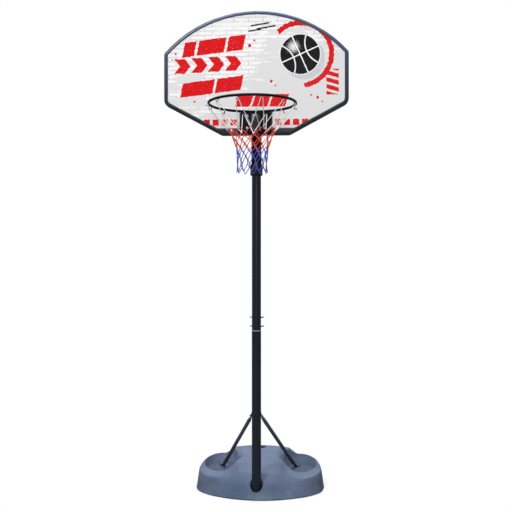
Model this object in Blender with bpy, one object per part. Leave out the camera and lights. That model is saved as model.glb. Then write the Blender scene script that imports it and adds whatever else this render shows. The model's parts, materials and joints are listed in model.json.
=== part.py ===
# Portable basketball stand: a fillable tank on two wheels, a telescoping pole held by two
# back struts, and a moulded backboard with a fixed rim and a net in three colours.
# Metres, +Z up, board and rim towards -Y. The origin is on the floor, on the pole's axis.
import math

import bmesh
import bpy
from mathutils import Matrix, Vector

GAP = 0.0003  # left between pieces that rest on, or pass through, one another

# Ballast tank
TANK_FRONT = 0.055
TANK_BACK = 0.385
TANK_WIDTH = 0.654
TANK_WALL = 0.004
TANK_SHIFT = 0.009  # the tank's middle lies this far to the right of the pole
TANK_EDGE_Z = 0.008
TANK_CORNER = 0.009
FRONT_RISE = 1.3
BACK_RISE = 8.0
DECK_Z = 0.0805
DECK_SLOPE = 0.142
HUMP_Z = 0.098
HUMP_SLOPE = 0.232
HUMP_TOP = 0.1715
HUMP_CROWN_R = 0.909
HUMP_HALF = 0.092
HUMP_SPREAD = 0.15
HUMP_FALL = 0.62
LOBE_FALL = 0.48
BLEND = 0.012

# Dishes for the struts' feet, one in each back lobe
DISH_X = 0.206
DISH_Y = 0.233
DISH_HALF_X = 0.082
DISH_HALF_Y = 0.119
DISH_FLOOR = 0.078

# Pole socket in the tank
SOCKET_D = 0.064
SOCKET_FLOOR = 0.030
SEAT_DEPTH = 0.018

# Filling hole and its plug
FILL_Y = 0.335
FILL_SEAT_Z = 0.162
FILL_BORE = 0.026
FILL_RECESS_D = 0.044
CAP_D = 0.036
CAP_THICK = 0.007
PLUG_LENGTH = 0.016
PLUG_WALL = 0.003
SEAL_THICK = 0.002

# Transport wheels
WHEEL_D = 0.060
WHEEL_WIDTH = 0.022
WHEEL_X = 0.185
WHEEL_Y = 0.366
WHEEL_LIFT = 0.004
WELL_SIDE = 0.0025
WELL_RADIAL = 0.005
AXLE_D = 0.008
AXLE_END = 0.022

# Poles
LOWER_POLE_D = 0.0460
TUBE_WALL = 0.0015
JOINT_Z = 0.822
STOP_RING_HEIGHT = 0.004
STOP_RING_LIP = 0.0006
UPPER_POLE_ABOVE_RIM = 0.023
INNER_TUBE_TOP = 1.320
HEAD_WALL = 0.0022
HEAD_TUBE_ABOVE_RIM = 0.373
COLLAR_D = 0.0605
COLLAR_BELOW_RIM = 0.289
COLLAR_HEIGHT = 0.056
COLLAR_LEDGE = 0.024
PLUG_CAP_HEIGHT = 0.006

# Wing screws that clamp the pole to the inner tube
CLAMP_ABOVE_JOINT = 0.0125
CLAMP_SPACING = 0.045
STUD_D = 0.006
CLAMP_NUT_AF = 0.010
CLAMP_NUT_HEIGHT = 0.008
HUB_D = 0.013
HUB_LENGTH = 0.016
HUB_STANDOFFS = (0.010, 0.003)  # unequal, so that the wings turn past each other
WING_SPAN = 0.073
WING_CURL = 0.005
WING_THICK = 0.005
STUD_IN_HUB = 0.010

# Back struts
STRUT_D = 0.019
STRUT_WALL = 0.0012
STRUT_TOP_Z = 0.410
STRUT_FLAT = 0.003
STRUT_FLAT_WIDTH = 0.026
STRUT_FLAT_RUN = 0.013
STRUT_SWAGE = 0.035
FOOT_BEND_X = 0.192
FOOT_BEND_Y = 0.283
FOOT_LENGTH = 0.034
FOOT_WIDTH = 0.024
FOOT_BOLT_DEPTH = 0.022
STRUT_DRAIN_D = 0.005

# M8 fasteners
BOLT_D = 0.008
BOLT_HEAD_AF = 0.013
BOLT_HEAD_HEIGHT = 0.0053
NUT_HEIGHT = 0.0065
BOLT_END = 0.003
PAN_HEAD_D = 0.014
PAN_HEAD_HEIGHT = 0.0045

# Backboard. All heights on it and on its bracket are set from the rim's.
BOARD_WIDTH = 0.900
BOARD_HEIGHT = 0.606
BOARD_BELOW_RIM = 0.097
BOARD_ARC_R = 0.600
BOARD_SIDE_ABOVE_EDGE = 0.153
BOARD_BOTTOM_HALF = 0.165
BOARD_FRONT = -0.060
BOARD_DEPTH = 0.030
BOARD_SKIN = 0.003
BOARD_WALL = 0.0035
LIP_WIDTH = 0.0185
LIP_HEIGHT = 0.0065
LIP_FALL = 0.009
LOW_LIP_EXTRA = 0.0145  # the lip is wider along the bottom edge
PAD_PROUD = 0.0005
SIDE_CORNER_R = 0.040
TOP_CORNER_R = 0.022
BOTTOM_CORNER_R = 0.030
PANEL_THICK = 0.0012
PAD_WIDTH = 0.158
PAD_HEIGHT = 0.114
RIB_THICK = 0.003
RIB_DEPTH = 0.018
RIBS_X = (0.115, 0.285)
RIBS_ABOVE_EDGE = (0.150, 0.315, 0.495)
SCREW_BOSS_D = 0.012
SCREW_BOSS_HEIGHT = 0.011

# Rim, its bracket and the bolts
RIM_HOLE = 0.380
RIM_ROD = 0.012
RIM_HEIGHT = 1.877
RIM_REACH = 0.342
RIM_PLATE_WIDTH = 0.150
RIM_PLATE_HEIGHT = 0.104
RIM_PLATE_THICK = 0.003
RIM_PLATE_BELOW_RIM = 0.093
RIM_BOLT_X = 0.042
RIM_BOLTS_BELOW_RIM = 0.064
RIM_BOLT_RISE = 0.0576
GUSSET_BELOW_RIM = 0.078
GUSSET_WIDTH = 0.050
GUSSET_NOSE = 0.018
GUSSET_NOSE_DEPTH = 0.010
GUSSET_WALL = 0.0025
HOOK_WIRE = 0.004
HOOK_DROP = 0.017
HOOK_MOUTH = 0.011
HOOKS = 12

# Angles that hold the board to the head tube
ANGLE_THICK = 0.003
ANGLE_FLANGE = 0.034
ANGLE_HEIGHT = 0.086
UPPER_ANGLE_ABOVE_RIM = 0.273
ANGLE_BACK = 0.018
ANGLE_SCREW_X = 0.046
ANGLE_SCREW_RISE = 0.056
SCREW_D = 0.005
SCREW_HEAD_D = 0.010
SCREW_HEAD_HEIGHT = 0.003

# Net: how far each row of knots hangs below the rim, and its radius
CORD = 0.004
NET_ROWS = (
    (0.115, 0.113), (0.142, 0.093), (0.170, 0.081), (0.201, 0.071),
    (0.229, 0.068), (0.267, 0.067), (0.317, 0.0705),
)
WHITE_ROW_COUNT = 1
RED_ROW_COUNT = 4

ROUND = 32
SMALL_ROUND = 12

# Sizes that follow from those above
UPPER_BORE = LOWER_POLE_D - 2 * TUBE_WALL
INNER_TUBE_D = UPPER_BORE - 0.0016
UPPER_POLE_D = INNER_TUBE_D + 2 * GAP + 2 * TUBE_WALL
HEAD_TUBE_D = UPPER_POLE_D + 2 * GAP + 2 * HEAD_WALL
UPPER_POLE_TOP = RIM_HEIGHT + UPPER_POLE_ABOVE_RIM
HEAD_TUBE_TOP = RIM_HEIGHT + HEAD_TUBE_ABOVE_RIM
COLLAR_BOTTOM = RIM_HEIGHT - COLLAR_BELOW_RIM
BOARD_BOTTOM = RIM_HEIGHT - BOARD_BELOW_RIM
BOARD_TOP = BOARD_BOTTOM + BOARD_HEIGHT
BOARD_BACK = BOARD_FRONT + BOARD_DEPTH
LIP_FRONT = BOARD_FRONT + PAD_PROUD
SKIN_FRONT = LIP_FRONT + LIP_HEIGHT
SKIN_BACK = SKIN_FRONT + BOARD_SKIN
PLATE_BACK = BOARD_FRONT - GAP
PLATE_FRONT = PLATE_BACK - RIM_PLATE_THICK
RIM_RADIUS = (RIM_HOLE + RIM_ROD) / 2
RIM_BOTTOM = RIM_HEIGHT - RIM_ROD / 2
RIM_PLATE_BOTTOM = RIM_HEIGHT - RIM_PLATE_BELOW_RIM
RIM_BOLT_LOW_Z = RIM_HEIGHT - RIM_BOLTS_BELOW_RIM
UPPER_ANGLE_Z = RIM_HEIGHT + UPPER_ANGLE_ABOVE_RIM
BOLT_HOLE = BOLT_D + 2 * GAP
LOWER_ANGLE_Z = RIM_BOLT_LOW_Z + RIM_BOLT_RISE / 2
CHEEK_IN = HEAD_TUBE_D / 2 + GAP
AXLE_Z = WHEEL_LIFT + WHEEL_D / 2
FILL_HOLE = (TANK_SHIFT, FILL_Y, 0)
STRUT_PLATE_X = LOWER_POLE_D / 2 + GAP + STRUT_FLAT / 2
FOOT_Z = DISH_FLOOR + GAP + STRUT_FLAT / 2
UPPER_POLE_BOTTOM = JOINT_Z + STOP_RING_HEIGHT + 2 * GAP
CLAMP_HEIGHTS = (UPPER_POLE_BOTTOM + CLAMP_ABOVE_JOINT,
                 UPPER_POLE_BOTTOM + CLAMP_ABOVE_JOINT + CLAMP_SPACING)

ALONG_X = Matrix.Rotation(math.pi / 2, 4, "Y")
ALONG_Y = Matrix.Rotation(-math.pi / 2, 4, "X")
ALONG_Z = Matrix.Identity(4)


# Helpers

def finish(name, colour, roughness, metallic=0.0):
    """A Principled material with this piece's colour."""
    made = bpy.data.materials.new(name)
    made.use_nodes = True
    shader = made.node_tree.nodes["Principled BSDF"]
    shader.inputs["Base Color"].default_value = (*colour, 1.0)
    shader.inputs["Roughness"].default_value = roughness
    shader.inputs["Metallic"].default_value = metallic
    made.diffuse_color = (*colour, 1.0)
    return made


def black_paint(name):
    return finish(name, (0.018, 0.020, 0.025), 0.35, 0.2)


def zinc(name):
    return finish(name, (0.62, 0.63, 0.65), 0.35, 1.0)


def black_plastic(name):
    return finish(name, (0.015, 0.015, 0.017), 0.5)


def solid(name, mesh, make_finish, place=ALONG_Z, origin=(0, 0, 0), parent=None):
    """An object from a bmesh, moved by place, with its own origin at a world point."""
    mesh.transform(Matrix.Translation(-Vector(origin)) @ place)
    data = bpy.data.meshes.new(name)
    mesh.to_mesh(data)
    mesh.free()
    data.shade_smooth()
    data.set_sharp_from_angle(angle=math.radians(32))
    made = bpy.data.objects.new(name, data)
    bpy.context.scene.collection.objects.link(made)
    made.location = origin
    if parent:
        made.parent = parent
        made.location = Vector(origin) - world_spot(parent)
    if make_finish:
        data.materials.append(make_finish(name))
    return made


def world_spot(empty):
    spot = Vector(empty.location)
    while empty.parent:
        empty = empty.parent
        spot += empty.location
    return spot


def joint_axis(name, location, parent=None):
    """An empty on a joint's axis, which carries the pieces that move with it."""
    empty = bpy.data.objects.new(name, None)
    empty.empty_display_size = 0.05
    bpy.context.scene.collection.objects.link(empty)
    empty.location = location
    if parent:
        empty.parent = parent
        empty.location = Vector(location) - world_spot(parent)
    return empty


def cutter(name, mesh, place=ALONG_Z):
    """A guide that cuts or joins other pieces and isn't one itself."""
    made = solid(name, mesh, None, place)
    made.hide_render = True
    made.display_type = "WIRE"
    return made


def combine(target, operation, *tools, overlapping=False):
    for tool in tools:
        step = target.modifiers.new(f"{operation} {tool.name}", "BOOLEAN")
        step.operation = operation
        step.object = tool
        step.solver = "EXACT"
        step.use_self = overlapping


def cut(target, *tools):
    combine(target, "DIFFERENCE", *tools)


def join(target, *tools):
    combine(target, "UNION", *tools)


def turned(profile, steps=ROUND):
    """A solid turned about +Z. Its (radius, height) points run round a closed loop or, where
    they start and end at radius 0, along a line."""
    mesh = bmesh.new()
    points = [mesh.verts.new((radius, 0.0, height)) for radius, height in profile]
    edges = [mesh.edges.new(pair) for pair in zip(points, points[1:])]
    if profile[0][0] > 0:
        edges.append(mesh.edges.new((points[-1], points[0])))
    bmesh.ops.spin(mesh, geom=points + edges, cent=(0, 0, 0), axis=(0, 0, 1),
                   angle=math.tau, steps=steps, use_merge=True)
    bmesh.ops.remove_doubles(mesh, verts=mesh.verts, dist=1e-6)
    bmesh.ops.recalc_face_normals(mesh, faces=mesh.faces)
    return mesh


def rod(diameter, low, high, steps=SMALL_ROUND):
    radius = diameter / 2
    return turned([(0, low), (radius, low), (radius, high), (0, high)], steps)


def tube(outer, bore, low, high, steps=ROUND):
    return turned([(bore / 2, low), (outer / 2, low), (outer / 2, high), (bore / 2, high)], steps)


def lofted(loops, ring=False):
    """A closed solid through loops of equally many points, capped or joined last to first."""
    mesh = bmesh.new()
    rows = [[mesh.verts.new(point) for point in loop] for loop in loops]
    pairs = list(zip(rows, rows[1:]))
    if ring:
        pairs.append((rows[-1], rows[0]))
    else:
        mesh.faces.new(rows[0])
        mesh.faces.new(rows[-1])
    count = len(loops[0])
    for low, high in pairs:
        for i in range(count):
            j = (i + 1) % count
            mesh.faces.new((low[i], low[j], high[j], high[i]))
    bmesh.ops.recalc_face_normals(mesh, faces=mesh.faces)
    return mesh


def block(low, high):
    """A box between two corners."""
    size = Vector(high) - Vector(low)
    mesh = bmesh.new()
    bmesh.ops.create_cube(mesh, size=1.0)
    bmesh.ops.scale(mesh, vec=size, verts=mesh.verts)
    bmesh.ops.translate(mesh, vec=(Vector(low) + Vector(high)) / 2, verts=mesh.verts)
    return mesh


def merged(meshes):
    """Several separate shapes in one mesh, for a cutter."""
    whole = bmesh.new()
    for mesh in meshes:
        part = bpy.data.meshes.new("part")
        mesh.to_mesh(part)
        mesh.free()
        whole.from_mesh(part)
        bpy.data.meshes.remove(part)
    return whole


def moved(mesh, place):
    mesh.transform(place)
    return mesh


def circle(radius, height, count=SMALL_ROUND):
    return [Vector((radius * math.cos(math.tau * i / count), radius * math.sin(math.tau * i / count),
                    height)) for i in range(count)]


def hexagon(across_flats, height):
    """Twelve points, at a hexagon's corners and halfway along its sides."""
    corner = across_flats / 2 / math.cos(math.pi / 6)
    return [Vector((radius * math.cos(math.tau * i / 12), radius * math.sin(math.tau * i / 12), height))
            for i, radius in enumerate([corner, across_flats / 2] * 6)]


def hex_bolt(length):
    """Head above z = 0, shank below."""
    radius = BOLT_D / 2
    return lofted([circle(radius, -length), circle(radius, 0), hexagon(BOLT_HEAD_AF, 0),
                   hexagon(BOLT_HEAD_AF, BOLT_HEAD_HEIGHT)])


def nut(across_flats, bore, height):
    return lofted([hexagon(across_flats, 0), hexagon(across_flats, height),
                   circle(bore / 2, height), circle(bore / 2, 0)], ring=True)


def pan_screw(diameter, length, head_d, head_height):
    """Rounded head above z = 0, shank below."""
    radius, head = diameter / 2, head_d / 2
    return turned([(0, -length), (radius, -length), (radius, 0), (head, 0), (head, head_height * 0.4),
                   (head * 0.75, head_height * 0.85), (0, head_height)], SMALL_ROUND)


def soft_min(a, b, width):
    overlap = max(width - abs(a - b), 0) / width
    return min(a, b) - overlap * overlap * width / 4


def soft_max(a, b, width):
    return -soft_min(-a, -b, width)


def smooth_step(low, high, value):
    share = min(max((value - low) / (high - low), 0), 1)
    return share * share * (3 - 2 * share)


def through(points, per_span):
    """Points of a smooth closed curve through these."""
    curve = []
    for i in range(len(points)):
        before, start, end, after = (Vector(points[(i + k) % len(points)]) for k in (-1, 0, 1, 2))
        for step in range(per_span):
            t = step / per_span
            curve.append(0.5 * (2 * start + (end - before) * t
                                + (2 * before - 5 * start + 4 * end - after) * t * t
                                + (3 * start - before - 3 * end + after) * t * t * t))
    return curve


# Tank

def tank_outline():
    """The tank's widest outline: a shallow front arc, round sides and a nearly straight back."""
    front, back, half = -TANK_FRONT, TANK_BACK, TANK_WIDTH / 2
    right = [(0.110, front + 0.015), (0.219, front + 0.061), (0.279, front + 0.108),
             (half - 0.012, front + 0.158), (half, front + 0.228), (half - 0.002, back - 0.160),
             (half - 0.024, back - 0.075), (half - 0.072, back - 0.022), (0.200, back - 0.004),
             (0.100, back)]
    left = [(-x, y) for x, y in reversed(right)]
    outline = through([(0, front)] + right + [(0, back)] + left, 3)
    return [point + Vector((TANK_SHIFT, 0)) for point in outline]


def tank_top(x, y):
    """Height of the tank's upper side: a hump down the middle between two falling lobes."""
    x = abs(x - TANK_SHIFT)
    across = (x - DISH_X) / DISH_HALF_X
    along = (y - DISH_Y) / DISH_HALF_Y
    outside = (math.hypot(across, along) - 1) * (DISH_HALF_X + DISH_HALF_Y) / 2
    lobe = DECK_Z + DECK_SLOPE * y - LOBE_FALL * max(outside, 0)
    beside = max(x - HUMP_HALF - HUMP_SPREAD * max(y, 0), 0)
    top = HUMP_TOP - x * x / (2 * HUMP_CROWN_R)
    hump = soft_min(HUMP_Z + HUMP_SLOPE * y, top, 0.012) - HUMP_FALL * beside
    return soft_max(lobe, hump, BLEND)


def tank_height(x, y, inward):
    rise = FRONT_RISE + (BACK_RISE - FRONT_RISE) * smooth_step(0.02, 0.24, y)
    return soft_min(TANK_EDGE_Z + rise * inward, tank_top(x, y), BLEND)


def tank_skin(shares, drop):
    """Loops up the wall and over the top, each a share of the way out from the middle."""
    middle = Vector((TANK_SHIFT, (TANK_BACK - TANK_FRONT) / 2))
    loops = []
    for share in shares:
        loop = []
        for edge in tank_outline():
            spot = middle.lerp(edge, share)
            inward = (1 - share) * (edge - middle).length
            loop.append(Vector((*spot, tank_height(*spot, inward) - drop)))
        loops.append(loop)
    return loops


def inset_loop(inset, height):
    middle = Vector((TANK_SHIFT, (TANK_BACK - TANK_FRONT) / 2))
    return [Vector((*(edge - (edge - middle).normalized() * inset), height)) for edge in tank_outline()]


def dish_cutter(side, grow):
    """A bowl with a flat floor and flaring sides. Growing it gives the wall round the dish."""
    loops = []
    for height, share in ((0, 0.76), (0.004, 0.88), (0.012, 0.96), (0.020, 1.0), (0.120, 1.20)):
        half_x, half_y = DISH_HALF_X * share + grow, DISH_HALF_Y * share + grow
        loops.append([Vector((TANK_SHIFT + side * DISH_X + half_x * math.cos(math.tau * i / 32),
                              DISH_Y + half_y * math.sin(math.tau * i / 32),
                              DISH_FLOOR + height - grow)) for i in range(32)])
    return lofted(loops)


def wheel_well(side, grow):
    half = WHEEL_WIDTH / 2 + WELL_SIDE + grow
    reach = WHEEL_D / 2 + WELL_RADIAL + grow
    return turned([(0, -half), (reach, -half), (reach, half), (0, half)], 24), Vector(
        (TANK_SHIFT + side * WHEEL_X, WHEEL_Y, AXLE_Z))


def make_tank():
    outer = [inset_loop(TANK_CORNER, 0), inset_loop(TANK_CORNER * 0.3, TANK_EDGE_Z * 0.3)]
    outer += tank_skin((1, 0.98, 0.95, 0.915, 0.88, 0.84, 0.79, 0.72, 0.64, 0.55, 0.44, 0.3, 0.12), 0)
    tank = solid("base_tank", lofted(outer), lambda name: finish(name, (0.175, 0.215, 0.30), 0.45))

    inner = tank_skin((0.94, 0.88, 0.82, 0.75, 0.66, 0.52, 0.35, 0.15), 2 * TANK_WALL)
    floor = [Vector((point.x, point.y, TANK_WALL)) for point in inner[0]]
    cavity = cutter("tank_cavity", lofted([floor] + inner))
    socket = cutter("socket_cutter", turned([
        (0, SOCKET_FLOOR - SEAT_DEPTH), (LOWER_POLE_D / 2 + GAP, SOCKET_FLOOR - SEAT_DEPTH),
        (LOWER_POLE_D / 2 + GAP, SOCKET_FLOOR), (SOCKET_D / 2, SOCKET_FLOOR),
        (SOCKET_D / 2, 2 * HUMP_TOP), (0, 2 * HUMP_TOP)]))
    socket_wall = cutter("socket_wall", rod(SOCKET_D + 2 * TANK_WALL, -HUMP_TOP, 2 * HUMP_TOP, ROUND))
    neck = cutter("neck_cutter", turned([
        (0, FILL_SEAT_Z - 2 * PLUG_LENGTH), (FILL_BORE / 2, FILL_SEAT_Z - 2 * PLUG_LENGTH),
        (FILL_BORE / 2, FILL_SEAT_Z), (FILL_RECESS_D / 2, FILL_SEAT_Z),
        (FILL_RECESS_D / 2, 2 * HUMP_TOP), (0, 2 * HUMP_TOP)]), Matrix.Translation(FILL_HOLE))
    neck_wall = cutter("neck_wall", rod(FILL_RECESS_D + 2 * TANK_WALL, FILL_SEAT_Z - TANK_WALL,
                                        2 * HUMP_TOP, ROUND), Matrix.Translation(FILL_HOLE))
    cut(cavity, socket_wall, neck_wall)
    cut(tank, cavity, socket)

    for side, label in ((-1, "left"), (1, "right")):
        bowl = cutter(f"dish_{label}", dish_cutter(side, 0))
        cut(cavity, cutter(f"dish_wall_{label}", dish_cutter(side, TANK_WALL)))
        foot = foot_bolt_at(side)
        boss = cutter(f"foot_boss_{label}", rod(BOLT_D * 3, DISH_FLOOR - 1.5 * FOOT_BOLT_DEPTH, DISH_FLOOR),
                      Matrix.Translation((foot.x, foot.y, 0)))
        cut(cavity, boss)
        hole = cutter(f"foot_hole_{label}", rod(BOLT_HOLE, DISH_FLOOR - FOOT_BOLT_DEPTH - GAP,
                                                DISH_FLOOR + 0.01),
                      Matrix.Translation((foot.x, foot.y, 0)))
        cut(tank, bowl, hole)
        well, spot = wheel_well(side, 0)
        thick_well, _ = wheel_well(side, TANK_WALL)
        turn = Matrix.Translation(spot) @ ALONG_X
        cut(cavity, cutter(f"well_wall_{label}", thick_well, turn))
        cut(tank, cutter(f"well_{label}", well, turn))

    half_groove = AXLE_D / 2 + GAP
    groove_end = WHEEL_X + WHEEL_WIDTH / 2 + AXLE_END + GAP
    groove = cutter("axle_groove", block(
        (TANK_SHIFT - groove_end, WHEEL_Y - half_groove, -0.01),
        (TANK_SHIFT + groove_end, WHEEL_Y + half_groove, AXLE_Z + half_groove)))
    groove_wall = cutter("groove_wall", block(
        (TANK_SHIFT - groove_end - TANK_WALL, WHEEL_Y - half_groove - TANK_WALL, -0.01),
        (TANK_SHIFT + groove_end + TANK_WALL, TANK_BACK, AXLE_Z + half_groove + TANK_WALL)))
    cut(cavity, groove_wall)
    cut(tank, groove, neck)


def make_fill_cap():
    axis = joint_axis("fill_cap_axis", (TANK_SHIFT, FILL_Y, FILL_SEAT_Z))
    seal_low = FILL_SEAT_Z + GAP
    seal_high = seal_low + SEAL_THICK
    plug = FILL_BORE / 2 - GAP
    solid("fill_cap_seal", tube(CAP_D - 0.004, FILL_BORE + 0.002, seal_low, seal_high),
          lambda name: finish(name, (0.05, 0.05, 0.05), 0.8),
          Matrix.Translation(FILL_HOLE), axis.location, axis)
    low = seal_high + GAP
    high = low + CAP_THICK
    cap = solid("fill_cap", turned([
        (0, low), (plug - PLUG_WALL, low), (plug - PLUG_WALL, low - PLUG_LENGTH),
        (plug, low - PLUG_LENGTH), (plug, low), (CAP_D / 2, low), (CAP_D / 2, high - 0.0015),
        (CAP_D / 2 - 0.0015, high), (0, high)]), black_plastic,
        Matrix.Translation(FILL_HOLE), axis.location, axis)
    slot = CAP_D * 0.30
    coin_slot = block((TANK_SHIFT - slot, FILL_Y - 0.0015, high - 0.003),
                      (TANK_SHIFT + slot, FILL_Y + 0.0015, high + 0.01))
    cut(cap, cutter("coin_slot", coin_slot))


def make_wheels():
    reach = WHEEL_X + WHEEL_WIDTH / 2 + AXLE_END
    solid("axle", rod(AXLE_D, -reach, reach), zinc,
          Matrix.Translation((TANK_SHIFT, WHEEL_Y, AXLE_Z)) @ ALONG_X)
    half = WHEEL_WIDTH / 2
    outer = WHEEL_D / 2
    bore = AXLE_D / 2 + GAP
    web = half * 0.45
    for side, label in ((-1, "left"), (1, "right")):
        spot = (TANK_SHIFT + side * WHEEL_X, WHEEL_Y, AXLE_Z)
        axis = joint_axis(f"wheel_axis_{label}", spot)
        wheel = turned([
            (bore, -half), (bore + 0.004, -half), (bore + 0.005, -web), (outer * 0.74, -web),
            (outer * 0.78, -half), (outer - 0.0015, -half), (outer, -half + 0.002),
            (outer, half - 0.002), (outer - 0.0015, half), (outer * 0.78, half), (outer * 0.74, web),
            (bore + 0.005, web), (bore + 0.004, half), (bore, half)], 28)
        solid(f"wheel_{label}", wheel, black_plastic, Matrix.Translation(spot) @ ALONG_X, spot, axis)


# Poles

def make_lower_pole():
    foot = SOCKET_FLOOR - SEAT_DEPTH + GAP
    bore = LOWER_POLE_D - 2 * TUBE_WALL
    low = foot + PLUG_CAP_HEIGHT + GAP
    pole = solid("lower_pole", tube(LOWER_POLE_D, bore, low, JOINT_Z), black_paint)
    hole = cutter("strut_bolt_hole", rod(BOLT_HOLE, -LOWER_POLE_D, LOWER_POLE_D),
                  Matrix.Translation((0, 0, STRUT_TOP_Z)) @ ALONG_X)
    cut(pole, hole)
    solid("pole_foot_plug", turned([
        (0, foot), (LOWER_POLE_D / 2, foot), (LOWER_POLE_D / 2, foot + PLUG_CAP_HEIGHT),
        (bore / 2 - GAP, foot + PLUG_CAP_HEIGHT), (bore / 2 - GAP, foot + 4 * PLUG_CAP_HEIGHT),
        (0, foot + 4 * PLUG_CAP_HEIGHT)]), black_plastic)
    ring_low = JOINT_Z + GAP
    lip = LOWER_POLE_D + 2 * STOP_RING_LIP
    solid("pole_stop_ring", turned([
        (INNER_TUBE_D / 2 + GAP, ring_low), (lip / 2, ring_low),
        (lip / 2, ring_low + STOP_RING_HEIGHT * 0.6), (lip / 2 - STOP_RING_LIP, ring_low + STOP_RING_HEIGHT),
        (INNER_TUBE_D / 2 + GAP, ring_low + STOP_RING_HEIGHT)]), black_plastic)
    rest = STRUT_TOP_Z + BOLT_D / 2 + GAP
    solid("inner_tube", tube(INNER_TUBE_D, INNER_TUBE_D - 2 * TUBE_WALL, rest, INNER_TUBE_TOP), zinc)


def make_head_poles(head):
    pole = solid("upper_pole", tube(UPPER_POLE_D, UPPER_POLE_D - 2 * TUBE_WALL, UPPER_POLE_BOTTOM,
                                    UPPER_POLE_TOP), black_paint, parent=head)
    ledge = COLLAR_BOTTOM + COLLAR_LEDGE
    head_low = ledge + GAP
    tube_bore = HEAD_TUBE_D - 2 * HEAD_WALL
    head_tube = solid("head_tube", tube(HEAD_TUBE_D, tube_bore, head_low, HEAD_TUBE_TOP),
                      black_paint, parent=head)
    solid("collar", turned([
        (UPPER_POLE_D / 2 + GAP, COLLAR_BOTTOM), (COLLAR_D / 2 - 0.002, COLLAR_BOTTOM),
        (COLLAR_D / 2, COLLAR_BOTTOM + 0.002), (COLLAR_D / 2, COLLAR_BOTTOM + COLLAR_HEIGHT - 0.002),
        (COLLAR_D / 2 - 0.002, COLLAR_BOTTOM + COLLAR_HEIGHT),
        (HEAD_TUBE_D / 2 + GAP, COLLAR_BOTTOM + COLLAR_HEIGHT), (HEAD_TUBE_D / 2 + GAP, ledge),
        (UPPER_POLE_D / 2 + GAP, ledge)]), black_plastic, parent=head)
    top = HEAD_TUBE_TOP + GAP
    solid("head_tube_cap", turned([
        (0, top - 0.012), (tube_bore / 2 - GAP, top - 0.012), (tube_bore / 2 - GAP, top),
        (HEAD_TUBE_D / 2, top), (HEAD_TUBE_D / 2, top + 0.002), (HEAD_TUBE_D / 2 * 0.6, top + 0.006),
        (0, top + 0.007)]), black_plastic, parent=head)
    for label, height in (("lower", LOWER_ANGLE_Z), ("upper", UPPER_ANGLE_Z)):
        hole = cutter(f"head_bolt_hole_{label}", rod(BOLT_HOLE, -HEAD_TUBE_D, HEAD_TUBE_D),
                      Matrix.Translation((0, 0, height)) @ ALONG_X)
        cut(head_tube, hole)
        if height - BOLT_HOLE < UPPER_POLE_TOP:
            cut(pole, hole)
    return pole


def make_clamps(head, pole):
    wall_out = UPPER_POLE_D / 2
    nut_in = wall_out + GAP
    tip = INNER_TUBE_D / 2 + GAP
    stud_hole = STUD_D + 2 * GAP
    for label, height, standoff in zip(("lower", "upper"), CLAMP_HEIGHTS, HUB_STANDOFFS):
        hub_in = nut_in + CLAMP_NUT_HEIGHT + standoff
        spot = Vector((0, hub_in, height))
        axis = joint_axis(f"clamp_axis_{label}", spot, head)
        level = Matrix.Translation((0, 0, height)) @ ALONG_Y
        cut(pole, cutter(f"stud_hole_{label}", rod(stud_hole, wall_out - 3 * TUBE_WALL, wall_out + 0.01),
                         level))
        solid(f"clamp_nut_{label}", nut(CLAMP_NUT_AF, stud_hole, CLAMP_NUT_HEIGHT), zinc,
              Matrix.Translation((0, nut_in, height)) @ ALONG_Y, parent=head)
        solid(f"clamp_stud_{label}", rod(STUD_D, tip, hub_in + STUD_IN_HUB - GAP), zinc, level,
              spot, axis)
        hub = solid(f"clamp_knob_{label}", turned([
            (0, hub_in), (HUB_D / 2, hub_in), (HUB_D / 2, hub_in + HUB_LENGTH - 0.002),
            (HUB_D / 2 - 0.002, hub_in + HUB_LENGTH), (0, hub_in + HUB_LENGTH)], 16),
            black_plastic, level, spot, axis)
        wings = cutter(f"wings_{label}", lofted(wing_loops(hub_in, height)))
        bore = cutter(f"knob_bore_{label}", rod(stud_hole, hub_in - 0.01, hub_in + STUD_IN_HUB), level)
        join(hub, wings)
        cut(hub, bore)


def wing_loops(hub_in, height):
    """Sections across a bar that runs from wing tip to wing tip and curls up at both ends."""
    loops = []
    middle = hub_in + HUB_LENGTH * 0.6
    half = WING_SPAN / 2
    for share, tall in ((-1, 0.003), (-0.86, 0.0055), (-0.5, 0.0075), (0, 0.009), (0.5, 0.0075),
                        (0.86, 0.0055), (1, 0.003)):
        centre = height + WING_CURL * abs(share) ** 2.2
        thick = WING_THICK * (1 - 0.35 * abs(share))
        loops.append([Vector((share * half, middle + thick / 2 * math.cos(math.tau * i / 8),
                              centre + tall / 2 * math.sin(math.tau * i / 8))) for i in range(8)])
    return loops


# Struts

def foot_bolt_at(side):
    run = Vector((FOOT_BEND_X - STRUT_PLATE_X, FOOT_BEND_Y)).normalized()
    spot = Vector((FOOT_BEND_X, FOOT_BEND_Y)) + run * FOOT_LENGTH * 0.55
    return Vector((side * spot.x, spot.y, DISH_FLOOR))


def section(centre, wide, thin, count=14):
    return [centre + wide * math.cos(math.tau * i / count) + thin * math.sin(math.tau * i / count)
            for i in range(count)]


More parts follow.
